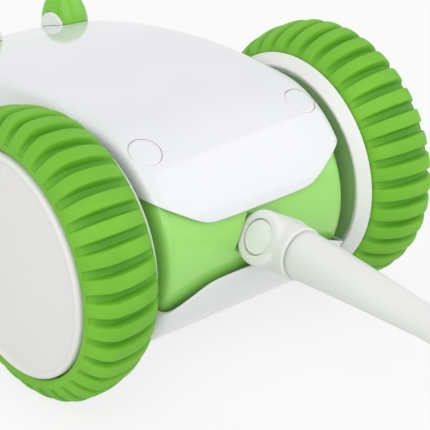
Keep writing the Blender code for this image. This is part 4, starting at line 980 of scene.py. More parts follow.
    def solid(self, name: str, under: float, grow: float) -> bpy.types.Object:
        """Make the whole body as one solid, for cutting pieces to it.

        Args:
            name: the object's name.
            under: radius of the drum's lower half.
            grow: how far outward the surface is moved.

        Returns:
            The solid.
        """
        rings = [[AXLE + self.column_point(turn, column, under, grow) for turn in around(self.solid_steps)]
                 for column in self.column_shares(self.solid_columns)]
        return loft(name, rings)


SURFACE = BodySurface()


@dataclass(frozen=True)
class ShellEdge:
    """Rear edge of a shell: level in the middle, sloping away past a rounded corner.

    Args:
        height: its height in the middle, below the axle if it is negative.
        flat: how far from the middle it stays level.
        slope: how steeply it goes on.
        corner: how soft the corner is.
    """

    height: float
    flat: float
    slope: float
    corner: float = 0.0022

    def at(self, reach: float) -> float:
        """Height of the edge at a distance from the middle plane.

        Args:
            reach: the distance, of either sign.

        Returns:
            The height about the axle.
        """
        excess = abs(reach) - self.flat
        soft = (excess + math.hypot(excess, self.corner)) / 2
        return self.height + math.copysign(self.slope * soft, self.height)


UPPER_EDGE = ShellEdge(0.0066, 0.0155, 0.62)
LOWER_EDGE = ShellEdge(-0.0064, 0.0160, 0.45)


@dataclass
class BodyShell:
    """One glossy shell, a thin wall whose rim is rounded.

    Args:
        name: the piece's name.
        sign: 1 for the upper shell, -1 for the belly.
        under: radius of the drum that it belongs to.
        edge: its rear edge.
    """

    name: str
    sign: int
    under: float
    edge: ShellEdge
    columns: int = 76
    flap_columns: int = 12
    rows: int = 120
    wall: float = 0.0015
    lip_wall: float = 0.0007
    lip_depth: float = 0.0058
    lip_blend: float = 0.0012
    lip_from_share: float = 0.93
    rim_radius: float = 0.0003
    rim_steps: int = 5
    band_half: float = 0.0060
    band_rounds: int = 30

    def rear_angle(self, column: float) -> float:
        """Angle about the axle at which a column meets the rear edge."""
        back = SURFACE.column_point(math.pi, column, self.under, 0)
        return math.pi - math.asin(self.edge.at(back.x) / abs(back.y))

    def nose_angle(self, column: float) -> float:
        """Angle about the axle at which a column meets the band round the nose."""
        return self.sign * last_inside(math.pi / 2, self.band_rounds, lambda turn: abs(
            SURFACE.column_point(self.sign * turn, column, self.under, 0).z) < self.band_half)

    def stations(self, column: float) -> list[tuple[float, float]]:
        """Stations along a column, close together at its two rims.

        Args:
            column: the column's share.

        Returns:
            (angle, distance along the surface from the nearer rim) pairs.
        """
        back = self.rear_angle(column)
        front = self.nose_angle(column) + (0 if self.sign > 0 else 2 * math.pi)
        fine = np.linspace(back, front, 3 * self.rows)
        points = [SURFACE.column_point(angle, column, self.under, 0) for angle in fine]
        run = np.concatenate([[0], np.cumsum([(b - a).length for a, b in zip(points, points[1:])])])
        quarter = [math.pi / 2 * k / self.rim_steps for k in range(self.rim_steps + 1)]
        rim = [self.rim_radius * (1 - math.cos(turn)) for turn in quarter]
        inner = np.linspace(2 * self.rim_radius, run[-1] - 2 * self.rim_radius, self.rows)
        marks = rim + list(inner) + [run[-1] - mark for mark in reversed(rim)]
        return [(float(np.interp(mark, run, fine)), min(mark, run[-1] - mark)) for mark in marks]

    def rim_drop(self, distance: float) -> float:
        """How far the surface sinks on its way round the rim."""
        left = max(self.rim_radius - distance, 0)
        return self.rim_radius - math.sqrt(self.rim_radius ** 2 - left ** 2)

    def wall_at(self, distance: float, column: float) -> float:
        """Wall at a distance from the rim: thin where the shell laps the green body.

        Args:
            distance: the distance from the nearer rim.
            column: the column's share.

        Returns:
            The wall's thickness.
        """
        share = min(max((distance - self.lip_depth) / self.lip_blend, 0), 1)
        if abs(column) > self.lip_from_share:
            share = 0
        return self.lip_wall + (self.wall - self.lip_wall) * share

    def build(self) -> bpy.types.Object:
        """Make the shell's closed wall.

        Returns:
            The shell, without its holes.
        """
        flaps = [1 + (k / self.flap_columns) for k in range(1, self.flap_columns + 1)]
        columns = [-item for item in reversed(flaps)] + SURFACE.column_shares(self.columns) + flaps
        outer, inner = [], []
        for column in columns:
            for angle, distance in self.stations(column):
                drop = self.rim_drop(distance)
                outer.append(AXLE + SURFACE.column_point(angle, column, self.under, round(-drop, 7)))
                depth = round(drop - self.wall_at(distance, column), 7)
                inner.append(AXLE + SURFACE.column_point(angle, column, self.under, depth))
        return add_mesh(self.name, outer + inner, wall_faces(len(columns), len(outer) // len(columns)))


def wall_faces(rows: int, columns: int) -> list[tuple[int, ...]]:
    """Faces of a wall between an outer and an inner grid of points.

    Args:
        rows: rows of each grid.
        columns: points in each row.

    Returns:
        The faces, the inner grid's points following the outer grid's.
    """
    faces = []
    shift = rows * columns
    for i in range(rows - 1):
        for j in range(columns - 1):
            a = i * columns + j
            faces.append((a, a + 1, a + columns + 1, a + columns))
            faces.append(tuple(shift + k for k in (a + columns, a + columns + 1, a + 1, a)))
    for j in range(columns - 1):
        for a in (j, (rows - 1) * columns + j):
            faces.append((a, a + 1, shift + a + 1, shift + a))
    for i in range(rows - 1):
        for a in (i * columns, (i + 1) * columns - 1):
            faces.append((a, a + columns, shift + a + columns, shift + a))
    return faces


POST_ANGLE = math.radians(59.0)


def post_direction(upper: bool) -> Vector:
    """Unit direction from the axle to a rear screw post."""
    return Vector((0, -math.cos(POST_ANGLE), math.sin(POST_ANGLE) if upper else -math.sin(POST_ANGLE)))


@dataclass(frozen=True)
class TailHinge:
    """The tail's hinge, whose pin leans, with the sizes of its knuckle and tongue."""

    pivot: Vector
    axis: Vector
    radius: float = 0.0063
    half_width: float = 0.0060
    tongue_half: float = 0.0020
    tongue_radius: float = 0.0032
    gap: float = 0.0004
    arm_reach: float = 0.0146

    def point(self, x: float, y: float, z: float) -> Vector:
        """Point given along the pin, along the tail and across both."""
        return self.pivot + x * self.axis + y * Y_AXIS + z * self.axis.cross(Y_AXIS)

    def room(self) -> bpy.types.Object:
        """Round space that clears the knuckle at every turn of it."""
        half, radius = self.half_width + self.gap, self.radius + self.gap
        return bar("knuckle_room", (-half, half), radius, 96, self.axis, self.pivot)

    def arm_room(self) -> bpy.types.Object:
        """Opening for the bracket's arm, which holds the tongue.

        Returns:
            The cutter.
        """
        half, tall = self.tongue_half + self.gap, self.tongue_radius + self.gap
        outline = ((0, -tall), (self.arm_reach, -tall), (self.arm_reach, tall), (0, tall))
        return loft("arm_room", [[self.point(x, y, z) for y, z in outline] for x in (-half, half)])


def tail_hinge() -> TailHinge:
    """Read the tail's hinge from the frame."""
    joint = next(item for item in frame["joints"] if item["name"] == "tail_hinge")
    return TailHinge(Vector(joint["pos_m"]), Vector(joint["axis"]).normalized())


HINGE = tail_hinge()
TAIL_PIVOT = HINGE.pivot


@dataclass
class BodyCase:
    """The two glossy shells, the green body between them and what is let into them."""

    post_side_reach: float = 0.0225
    plug_radius: float = 0.00375
    plug_wall: float = 0.0011
    plug_groove: float = 0.00008
    screw_head_radius: float = 0.0023
    nose_screw_side: float = 0.0135
    nose_screw_reach: float = 0.0560
    nose_hole: Point = (0.012, 0.030)
    button_radius: float = 0.0040
    button_reach: float = 0.0060
    button_hole: Point = (0.023, 0.030)
    post_hole_margin: float = 0.003
    post_hole_depth: float = 0.007
    port_hole_margin: float = 0.003
    axle_hole_half: float = 0.03
    bush_wall: float = 0.0014
    inset: float = 0.0013
    middle_wall: float = 0.0018
    side_wall_drop: float = 0.0022
    tuck: float = 0.0018
    band_half: float = 0.0060
    centre_reach: float = 0.010
    back_steps: int = 22
    side_steps: int = 24
    nose_steps: int = 40
    corner_power: float = 2.2
    levels: int = 18
    plug_steps: int = 72
    plug_start: float = 0.010
    plug_rims: tuple[Point, ...] = ((0.5, 0.0), (0.8, 0.0), (0.93, 0.00002), (0.98, 0.0001), (1.0, 0.00026))
    window_half: Point = (0.0085, 0.0036)
    window_depth: float = 0.0060
    window_hole: Point = (0.08, 0.095)
    window_start: float = 0.02
    window_steps: int = 96
    window_rims: tuple[Point, ...] = ((0.3, 0.0), (0.6, 0.0), (0.85, 0.0), (0.95, 0.00005), (0.99, 0.00018),
                                      (1.0, 0.0004))

    def hole(self, name: str, side: Side, upper: bool, radius: float) -> bpy.types.Object:
        """Cutter for a hole over one of the rear screw posts.

        Args:
            name: the cutter's name.
            side: the side of the toy.
            upper: whether it is in the upper shell.
            radius: the hole's radius.

        Returns:
            The cutter.
        """
        centre = AXLE + Vector((side.value * self.post_side_reach, 0, 0))
        outer = SURFACE.belly_radius + self.post_hole_margin
        return bar(name, (outer - self.post_hole_depth, outer), radius, 64, post_direction(upper), centre)

    def upper_shell(self) -> None:
        """Make the upper shell with its two plug holes."""
        shell = BodyShell("shell_top", 1, SURFACE.shell_radius, UPPER_EDGE).build()
        radius = self.plug_radius + self.plug_groove
        holes = [self.hole(f"plug_hole_{side.word}", side, True, radius) for side in Side]
        combine(shell, "DIFFERENCE", *holes)
        settle(shell, "chassis", WHITE_GLOSS, "upper_shell", 40.0)

    def belly_shell(self) -> None:
        """Make the belly shell with its holes for screws, button and charging port."""
        shell = BodyShell("shell_belly", -1, SURFACE.belly_radius, LOWER_EDGE).build()
        down = Vector((0, 0, -1))
        radius = self.screw_head_radius + FIT_GAP
        cutters = []
        for side in Side:
            cutters.append(self.hole(f"rear_hole_{side.word}", side, False, radius))
            centre = AXLE + Vector((side.value * self.nose_screw_side, self.nose_screw_reach, 0))
            cutters.append(bar(f"nose_hole_{side.word}", self.nose_hole, radius, 48, down, centre))
        centre = AXLE + Vector((0, self.button_reach, 0))
        cutters.append(bar("button_hole", self.button_hole, self.button_radius + FIT_GAP, 64, down, centre))
        low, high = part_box("port_cover")
        margin = Vector((FIT_GAP, FIT_GAP, self.port_hole_margin))
        cutters += [block("port_hole", low - margin, high + margin), HINGE.room()]
        combine(shell, "DIFFERENCE", *cutters)
        settle(shell, "chassis", WHITE_GLOSS, "belly_shell", 40.0)

    def plugs(self) -> None:
        """Make the round plugs over the upper screws, flush with the shell."""
        direction = post_direction(True)
        up = direction.cross(X_AXIS)
        spokes = [math.cos(turn) * X_AXIS + math.sin(turn) * up for turn in around(self.plug_steps)]
        for side in Side:
            centre = Vector((side.value * self.post_side_reach, 0, 0))
            rings = [[self.plug_point(centre + share * self.plug_radius * spoke, direction, drop)
                      for spoke in spokes] for share, drop in self.plug_rims]
            foot = direction * (SURFACE.shell_radius - self.plug_wall)
            rings.append([AXLE + centre + self.plug_radius * spoke + foot for spoke in spokes])
            settle(loft(f"plug_{side.word}", rings), "chassis", WHITE_GLOSS, f"screw_plug_{side.word}", 50.0)

    def plug_point(self, flat: Vector, direction: Vector, drop: float) -> Vector:
        """Point of a plug's face, which follows the shell's surface.

        Args:
            flat: the point's place in the plane through the axle that faces the post.
            direction: the post's direction.
            drop: depth under the shell's surface.

        Returns:
            The point in the model's frame.
        """
        start = flat + self.plug_start * direction
        reach = SURFACE.reach_along(start, direction, SURFACE.shell_radius, 0)
        return AXLE + start + (reach - drop) * direction

    def rim_height(self, point: Vector, edge: ShellEdge) -> float:
        """Height to which the green body reaches at a point, behind one shell's edge.

        Args:
            point: the point, about the axle.
            edge: the rear edge of the shell that covers the body there.

        Returns:
            The height about the axle, below it for the belly's edge.
        """
        rim = abs(edge.at(point.x)) if point.y < 0 else self.band_half
        return math.copysign(max(rim + self.tuck, self.side_wall_top(point)), edge.height)

    def side_wall_top(self, point: Vector) -> float:
        """Top of the round side walls beside the wheels.

        Args:
            point: a point about the axle.

        Returns:
            The height, or 0 away from the walls.
        """
        if abs(point.x) < SURFACE.half_width - self.inset - self.middle_wall:
            return 0
        reach = SURFACE.shell_radius - self.inset - self.side_wall_drop
        return math.sqrt(max(reach ** 2 - point.y ** 2, 0))

    def directions(self) -> list[Vector]:
        """Directions of the green body's stations, close together at its rear corners.

        Returns:
            Unit directions, once round the toy.
        """
        width = SURFACE.half_width - self.inset
        back = self.inset - SURFACE.shell_radius
        rim = SURFACE.nose_reach - SURFACE.shell_radius
        shares = [k / self.back_steps for k in range(self.back_steps + 1)]
        places = [Vector((width * (1 - (1 - share) ** self.corner_power), back, 0)) for share in shares]
        places += [Vector((width, back * (1 - (k / self.side_steps)), 0)) for k in range(1, self.side_steps)]
        for k in range(self.nose_steps + 1):
            turn = math.pi / 2 * k / self.nose_steps
            places.append(Vector((width * math.cos(turn), SURFACE.shell_radius + rim * math.sin(turn), 0)))
        centre = Vector((0, self.centre_reach, 0))
        right = [(place - centre).normalized() for place in places]
        return right + [Vector((-item.x, item.y, 0)) for item in reversed(right[1:-1])]

    def middle_body(self) -> None:
        """Make the green body: a tall belt round the toy with side walls beside the wheels."""
        rings = []
        under = SURFACE.shell_radius
        for direction in self.directions():
            start = Vector((0, self.centre_reach, 0))
            level = start + SURFACE.reach_along(start, direction, under, -self.inset) * direction
            low, high = self.rim_height(level, LOWER_EDGE), self.rim_height(level, UPPER_EDGE)
            heights = [low + (high - low) * k / self.levels for k in range(self.levels + 1)]
            ring = []
            for grow_by, order in ((-self.inset, heights), (-self.inset - self.middle_wall, heights[::-1])):
                for height in order:
                    start.z = height
                    reach = SURFACE.reach_along(start, direction, under, grow_by)
                    ring.append(AXLE + start + reach * direction)
            rings.append(ring)
        body = loft("body_green", rings, True)
        radius = half_height("axle_bush_left") - self.bush_wall + FIT_GAP
        axle = bar("axle_hole", (-self.axle_hole_half, self.axle_hole_half), radius, 48, centre=AXLE)
        window = loft("window_hole", self.window_rings(FIT_GAP, self.window_hole))
        combine(body, "DIFFERENCE", HINGE.room(), HINGE.arm_room(), axle, window)
        settle(body, "chassis", BODY_GREEN, "mid_body", 40.0)

    def window_rings(self, grow_by: float, reaches: Sequence[float]) -> list[list[Vector]]:
        """Oval rings across the nose at given distances from the axle.

        Args:
            grow_by: how much larger than the window they are.
            reaches: the distances.

        Returns:
            The rings.
        """
        wide, tall = self.window_half[0] + grow_by, self.window_half[1] + grow_by
        turns = around(self.window_steps)
        return [[AXLE + Vector((wide * math.cos(turn), reach, tall * math.sin(turn))) for turn in turns]
                for reach in reaches]

    def window(self) -> None:
        """Make the dark sensor window, whose face follows the nose."""
        rings = []
        for share, drop in self.window_rims:
            ring = []
            for turn in around(self.window_steps):
                start = Vector((share * self.window_half[0] * math.cos(turn), self.window_start,
                                share * self.window_half[1] * math.sin(turn)))
                reach = SURFACE.reach_along(start, Y_AXIS, SURFACE.shell_radius, -self.inset)
                ring.append(AXLE + start + (reach - drop) * Y_AXIS)
            rings.append(ring)
        rings += self.window_rings(0, [SURFACE.nose_reach - self.window_depth])
        settle(loft("nose_window", rings), "chassis", WINDOW_BLACK, "sensor_window", 50.0)

    def build(self) -> None:
        """Build the body case."""
        self.upper_shell()
        self.belly_shell()
        self.plugs()
        self.middle_body()
        self.window()


# Wheels

def rib_tree() -> bpy.types.NodeTree:
    """Build the tree that presses the grooves between the ribs into a plain tyre.

    Returns:
        A tree with the tyre's sizes as inputs.
    """
    bench, given, wanted = open_tree(
        "tyre_ribs", "GeometryNodeTree",
        {"Tyre": ("NodeSocketGeometry", None), "Rib Count": ("NodeSocketInt", 36),
         "Groove Depth": (FLOAT, 0.0017), "Crown Share": (FLOAT, 0.26), "Floor Share": (FLOAT, 0.37),
         "Crown Bulge": (FLOAT, 0.0004), "Axle": ("NodeSocketVector", (0.0, 0.0, 0.0)),
         "Rubber": ("NodeSocketMaterial", None)},
        {"Tyre": "NodeSocketGeometry"})
    place = bench.vector_math("SUBTRACT", bench.add("GeometryNodeInputPosition").outputs[0], given["Axle"])
    parts = bench.add("ShaderNodeSeparateXYZ", {0: place})
    turn = bench.math("ARCTAN2", parts.outputs["Z"], parts.outputs["Y"])
    turn = bench.math("ADD", turn, math.pi / 2)
    phase = bench.math("DIVIDE", bench.math("MULTIPLY", turn, given["Rib Count"]), FULL_TURN)
    away = bench.math("ABSOLUTE", bench.math("SUBTRACT", phase, bench.math("ROUND", phase)))
    weight = bench.named("rib_weight")
    pressed = bench.spread(away, given["Crown Share"], given["Floor Share"], 0.0, 1.0, True)
    groove = bench.math("MULTIPLY", pressed, weight)
    bulge = bench.math("POWER", bench.math("DIVIDE", away, 0.5), 2.0)
    bulge = bench.math("MULTIPLY", bulge, given["Crown Bulge"])
    drop = bench.math("ADD", bench.math("MULTIPLY", groove, given["Groove Depth"]),
                      bench.math("MULTIPLY", bulge, weight))
    outward = bench.add("ShaderNodeCombineXYZ", {name: parts.outputs[name] for name in "YZ"}).outputs[0]
    inward = bench.scaled(bench.vector_math("NORMALIZE", outward), bench.math("MULTIPLY", drop, -1.0))
    # The groove share is also stored as the mask of the painted shade in the grooves.
    store = bench.add("GeometryNodeStoreNamedAttribute",
                      {"Geometry": given["Tyre"], "Name": "groove", "Value": groove},
                      data_type="FLOAT", domain="POINT")
    move = bench.add("GeometryNodeSetPosition", {"Geometry": store.outputs["Geometry"], "Offset": inward})
    finish_tree(bench, move.outputs["Geometry"], given["Rubber"], wanted["Tyre"])
    return bench.tree


def finish_tree(bench: Bench, shape: bpy.types.NodeSocket, material: bpy.types.NodeSocket,
                leaving: bpy.types.NodeSocket) -> None:
    """End a geometry tree with real meshes and their material.

    Args:
        bench: the tree's bench.
        shape: what the tree has made.
        material: the material's socket.
        leaving: the tree's outgoing socket.
    """
    real = bench.add("GeometryNodeRealizeInstances", {0: shape})
    dressed = bench.add("GeometryNodeSetMaterial", {"Geometry": real.outputs[0], "Material": material})
    bench.join(dressed.outputs[0], leaving)


@dataclass
class Wheel:
    """One wheel: ribbed tyre, hub with its rounded inner ring, and satin cap.

    Args:
        side: the side that it is on.
    """

    side: Side
    rib_count: int = 36
    rib_depth: float = 0.0019
    side_radius: float = 0.0283
    inner_shoulder: float = 0.0098
    outer_shoulder: float = 0.0045
    inner_fullness: float = 1.65
    outer_fullness: float = 1.40
    barrel_radius: float = 0.0239
    ring_inner_radius: float = 0.0252
    ring_radius: float = 0.0277
    ring_set_back: float = 0.00145
    web_set_back: float = 0.0026
    bead_width: float = 0.0016
    bead_drop: float = 0.0004
    tyre_lip: float = 0.0009
    hub_wall: float = 0.0015
    ring_wall: float = 0.0016
    ring_fullness: float = 1.03
    ring_edge: Point = (0.0008, 0.0011)
    boss_radius: float = 0.0042
    boss_length: float = 0.016
    shaft_radius: float = 0.0018
    cap_edge: float = 0.0009
    cap_foot: float = 0.0004
    cap_shares: tuple[float, ...] = (0.02, 0.2, 0.5, 0.8, 0.98)
    steps_round: int = 144
    tyre_points: int = 54
    tyre_passes: int = 10
    rib_marks: tuple[float, ...] = (0.0, 0.1, 0.18, 0.235, 0.26, 0.28, 0.30, 0.315, 0.33, 0.35, 0.37, 0.395,
                                    0.44)

    @property
    def body(self) -> str:
        """Name of the body that the wheel turns with."""
        return self.node("wheel")

    def node(self, part: str) -> str:
        """Name of a part of this wheel, with its side."""
        return f"{part}_{self.side.word}"

    def span(self, part: str) -> Point:
        """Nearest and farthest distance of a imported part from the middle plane."""
        low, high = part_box(self.node(part))
        return tuple(sorted((abs(low.x), abs(high.x))))

    def tyre_profile(self) -> list[Point]:
        """Section of the plain tyre as (place, radius) pairs.

        Returns:
            The pairs, once round the section.
        """
        start, end = self.span("tyre")
        crown = half_height(self.node("tyre"))
        bore = self.barrel_radius + FIT_GAP
        seat = half_height(self.node("hub_cap")) + FIT_GAP
        step = self.span("hub_cap")[0] - FIT_GAP
        lip = self.tyre_lip
        near, far = start + self.inner_shoulder, end - self.outer_shoulder
        inner = rounded((start, self.side_radius), (near, crown), 16, False, self.inner_fullness)
        outer = rounded((far, crown), (end, self.side_radius), 14, True, self.outer_fullness)
        tread = [(near + (far - near) * k / 6, crown) for k in range(1, 6)]
        bore_edge = rounded((start + lip, bore + lip), (start, bore + 2 * lip), 3, False)
        seat_edge = rounded((end, seat + lip), (end - lip, seat), 4, False)
        outside = softened(inner + tread + outer, self.tyre_points, self.tyre_passes)
        return [(start + lip, bore)] + bore_edge + outside + seat_edge + [(step, seat), (step, bore)]

    def groove_share(self, radius: float, crown: float) -> float:
        """Share of the groove's depth at a radius: none low on the side wall."""
        share = (radius - self.side_radius) / (crown - self.side_radius)
        return min(1, max(0, share)) ** 0.5

    def tyre(self) -> None:
        """Make the ribbed tyre."""
        marks = [-mark for mark in reversed(self.rib_marks[1:])] + list(self.rib_marks)
        turns = [FULL_TURN * (rib + mark) / self.rib_count - math.pi / 2
                 for rib in range(self.rib_count) for mark in marks]
        profile = [(self.side.value * x, r) for x, r in self.tyre_profile()]
        rings = [[AXLE + Vector((x, r * math.cos(turn), r * math.sin(turn))) for x, r in profile]
                 for turn in turns]
        item = loft(self.node("tread"), rings, True)
        radii = radii_of(item)
        crown, foot = max(radii), self.side_radius - FIT_GAP / 10
        shares = [self.groove_share(radius, crown) if radius >= foot else 0.0 for radius in radii]
        store_values(item.data, "rib_weight", shares)
        grow(item, rib_tree(), {"Rib Count": self.rib_count, "Groove Depth": self.rib_depth, "Axle": AXLE,
                                "Rubber": TYRE_GREEN.material()})
        settle(item, self.body, TYRE_GREEN, self.node("tyre"), 60.0)

    def hub(self) -> None:
        """Make the hub: inner ring, barrel, web and boss."""
        ring_start, barrel_end = self.span("hub")
        ring_end = self.span("tyre")[0] - FIT_GAP
        lip, face = ring_start + self.ring_set_back, ring_start + self.web_set_back
        ring = rounded((lip, self.ring_inner_radius), (ring_end, self.ring_radius), 14, False,
                       self.ring_fullness)
        inner = self.ring_inner_radius - self.ring_wall
        deep, tall = self.ring_edge
        inner_edge = rounded((lip + deep, inner), (lip, inner + tall), 8, False)
        barrel, web = self.barrel_radius - self.hub_wall, face + self.hub_wall
        boss, bore, boss_end = self.boss_radius, self.shaft_radius, ring_start + self.boss_length
        profile = ([(ring_start, bore), (ring_start, boss), (face, boss), (face, inner)] + inner_edge + ring
                   + [(ring_end, self.barrel_radius), (barrel_end, self.barrel_radius), (barrel_end, barrel),
                      (web, barrel), (web, boss), (boss_end, boss), (boss_end, bore)])
        axis = Vector((self.side.value, 0, 0))
        item = turned(self.node("rim"), profile, self.steps_round, axis, AXLE, True)
        # Mask of the sunk web inside the ring, which gets painted shade with a painted green reflection.
        shares = [float(abs(point.co.x) > face - FIT_GAP and radius < inner + FIT_GAP / 3)
                  for point, radius in zip(item.data.vertices, radii_of(item))]
        store_values(item.data, "groove", shares)
        settle(item, self.body, HUB_WHITE, self.node("hub"))

    def cap(self) -> None:
        """Make the satin cap: a flat face inside a rounded bead."""
        start, end = self.span("hub_cap")
        radius = half_height(self.node("hub_cap"))
        inner, crest, drop = radius - self.bead_width, radius - self.bead_width / 2, self.bead_drop
        bead = rounded((end - self.cap_edge, radius), (end, crest), 8, True)
        fall = rounded((end, crest), (end - drop, inner), 6, False)
        face = [(end - drop * (1 - share * share), inner * (1 - share)) for share in self.cap_shares]
        profile = [(start, radius - self.cap_foot), (start, radius)] + bead + fall[1:] + face
        axis = Vector((self.side.value, 0, 0))
        item = turned(self.node("cap"), profile, self.steps_round, axis, AXLE)
        settle(item, self.body, CAP_GREY, self.node("hub_cap"))

    def build(self) -> None:
        """Build the wheel and dress its axle."""
        self.tyre()
        self.hub()
        self.cap()
        dress(self.node("axle_shaft"), STEEL)
        dress(self.node("output_gear"), NYLON)


# Tail

@dataclass
class Tail:
    """The hinged tail: knuckle, pin, rod and feather socket."""

    edge: float = 0.0011
    recess_radius: float = 0.0042
    recess_depth: float = 0.0011
    cutter_margin: float = 0.002
    pin_radius: float = 0.0015
    pin_head: float = 0.0005
    pin_edge: float = 0.0002
    pin_hole_half: float = 0.008
    swing_high: float = math.radians(32.0)
    swing_low: float = math.radians(-3.0)
    neck_from_share: float = 0.15
    neck_steps: int = 8
    neck_reach: float = 0.0086
    neck_radius: float = 0.0061
    root_radius: float = 0.0056
    root_edge: float = 0.0003
    rod_length: float = 0.0820
    rod_steps: int = 60
    middle_radius: float = 0.0035
    tip_radius: float = 0.0026
    droop: float = 0.0060
    droop_power: float = 1.3
    ring_steps: int = 64
    knuckle_steps: int = 96
    smooth_share: float = 0.5
    smooth_rounds: int = 8
    taper_share: float = 0.43
    voxel: float = 0.00022
    socket_edge: float = 0.0012
    groove_reaches: tuple[float, ...] = (0.0026, 0.0048, 0.0070)
    groove_halves: Point = (0.0005, 0.0002)
    groove_depth: float = 0.0003

    @property
    def socket_start(self) -> float:
        """How far behind the hinge the feather socket begins."""
        return self.neck_reach + 2 * FIT_GAP + self.rod_length

    def centre(self, reach: float) -> Vector:
        """Middle of the tail at a distance behind its hinge."""
        share = max(reach - self.neck_reach, 0) / self.rod_length
        return TAIL_PIVOT + Vector((0, -reach, -self.droop * share ** self.droop_power))

    def ring(self, reach: float, radius: float) -> list[Vector]:
        """Upright ring of the tail.

        Args:
            reach: how far behind the hinge it is.
            radius: its radius.

        Returns:
            Its points.
        """
        middle = self.centre(reach)
        turns = around(self.ring_steps)
        return [middle + radius * Vector((math.cos(turn), 0, math.sin(turn))) for turn in turns]

    def knuckle(self) -> None:
        """Make the knuckle as one smooth moulded form with a recess on each side."""
        half, edge, radius = HINGE.half_width, self.edge, HINGE.radius
        profile = (rounded((-half, radius - edge), (-half + edge, radius), 6, False)
                   + rounded((half - edge, radius), (half, radius - edge), 6, True))
        item = turned("knuckle", profile, self.knuckle_steps, HINGE.axis, TAIL_PIVOT)
        shares = [self.neck_from_share + (1 - self.neck_from_share) * k / self.neck_steps
                  for k in range(self.neck_steps + 1)]
        combine(item, "UNION", loft("neck", [self.ring(self.neck_reach * share, self.neck_radius)
                                             for share in shares]))
        remesh = item.modifiers.new("even", "REMESH")
        remesh.mode = "VOXEL"
        remesh.voxel_size = self.voxel
        soften = item.modifiers.new("soften", "SMOOTH")
        soften.factor = self.smooth_share
        soften.iterations = self.smooth_rounds
        bake_modifiers(item)
        reach = self.pin_hole_half
        cutters = [bar("pin_hole", (-reach, reach), self.pin_radius + FIT_GAP, 48, HINGE.axis, TAIL_PIVOT),
                   self.tongue_space()]
        recess = (half - self.recess_depth, half + self.cutter_margin)
        for side in Side:
            axis = side.value * HINGE.axis
            cutters.append(bar(f"recess_{side.word}", recess, self.recess_radius, 64, axis, TAIL_PIVOT))
        combine(item, "DIFFERENCE", *cutters)
        settle(item, "tail", WHITE_SATIN, "tail_knuckle", 40.0)

    def tongue_space(self) -> bpy.types.Object:
        """Space in the knuckle that the bracket's tongue sweeps while the tail swings.

        Returns:
            The cutter.
        """
        high, low = self.swing_high, self.swing_low
        radius, half = HINGE.tongue_radius + FIT_GAP, HINGE.tongue_half + FIT_GAP
        outline = [(radius * math.cos(turn), radius * math.sin(turn))
                   for turn in np.linspace(high + math.pi / 2, low + 3 * math.pi / 2, 20)]
        far = HINGE.radius + self.cutter_margin
        for turn, side in ((low, -1), ((low + high) / 2, 0), (high, 1)):
            outline.append((far * math.cos(turn) - side * radius * math.sin(turn),
                            far * math.sin(turn) + side * radius * math.cos(turn)))
        return loft("tongue_space", [[HINGE.point(x, y, z) for y, z in outline] for x in (-half, half)])

    def pin(self) -> None:
        """Make the hinge pin with its two flat heads."""
        head = HINGE.half_width - self.recess_depth + FIT_GAP
        face, end, edge = self.recess_radius - FIT_GAP, head + self.pin_head, self.pin_edge
        right = [(head, self.pin_radius), (head, face)]
        right += rounded((end - edge, face), (end, face - edge), 4, True)
        profile = [(-x, r) for x, r in reversed(right)] + right
        settle(turned("hinge_pin", profile, 64, HINGE.axis, TAIL_PIVOT), "tail", RING_WHITE, "tail_pin")

    def rod_radius(self, share: float) -> float:
        """Radius of the rod at a share of its length.

        Args:
            share: the share.

        Returns:
            The radius.
        """
        if share < self.taper_share:
            part = share / self.taper_share
            return self.root_radius + (self.middle_radius - self.root_radius) * part
        part = (share - self.taper_share) / (1 - self.taper_share)
        return self.middle_radius + (self.tip_radius - self.middle_radius) * part

    def rod(self) -> None:
        """Make the long tapered rod, a little narrower right at the collar."""
        start, edge, steps = self.neck_reach + FIT_GAP, self.root_edge, self.rod_steps
        rings = [self.ring(start, self.root_radius - edge)]
        rings += [self.ring(start + edge + (self.rod_length - edge) * k / steps, self.rod_radius(k / steps))
                  for k in range(steps + 1)]
        settle(loft("rod", rings), "tail", WHITE_SATIN, "tail_rod", 50.0)

    def socket(self) -> None:
        """Make the rubber socket that holds the feathers."""
        low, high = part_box("feather_socket")
        length = high.y - low.y
        radius = (high.x - low.x) / 2
        edge, floor = self.socket_edge, radius - self.groove_depth
        wide, narrow = self.groove_halves
        stations = rounded((0.0, radius - edge), (edge, radius), 6, False)
        for middle in self.groove_reaches:
            stations += [(middle - wide, radius), (middle - narrow, floor), (middle + narrow, floor),
                         (middle + wide, radius)]
        stations += rounded((length - edge, radius), (length, radius - edge), 6, True)
        rings = [self.ring(self.socket_start + reach, size) for reach, size in stations]
        settle(loft("socket", rings), "tail", EAR_GREEN, "feather_socket", 50.0)

    def build(self) -> None:
        """Build the tail."""
        self.knuckle()
        self.pin()
        self.rod()
        self.socket()
        dress("tail_bracket", STEEL)


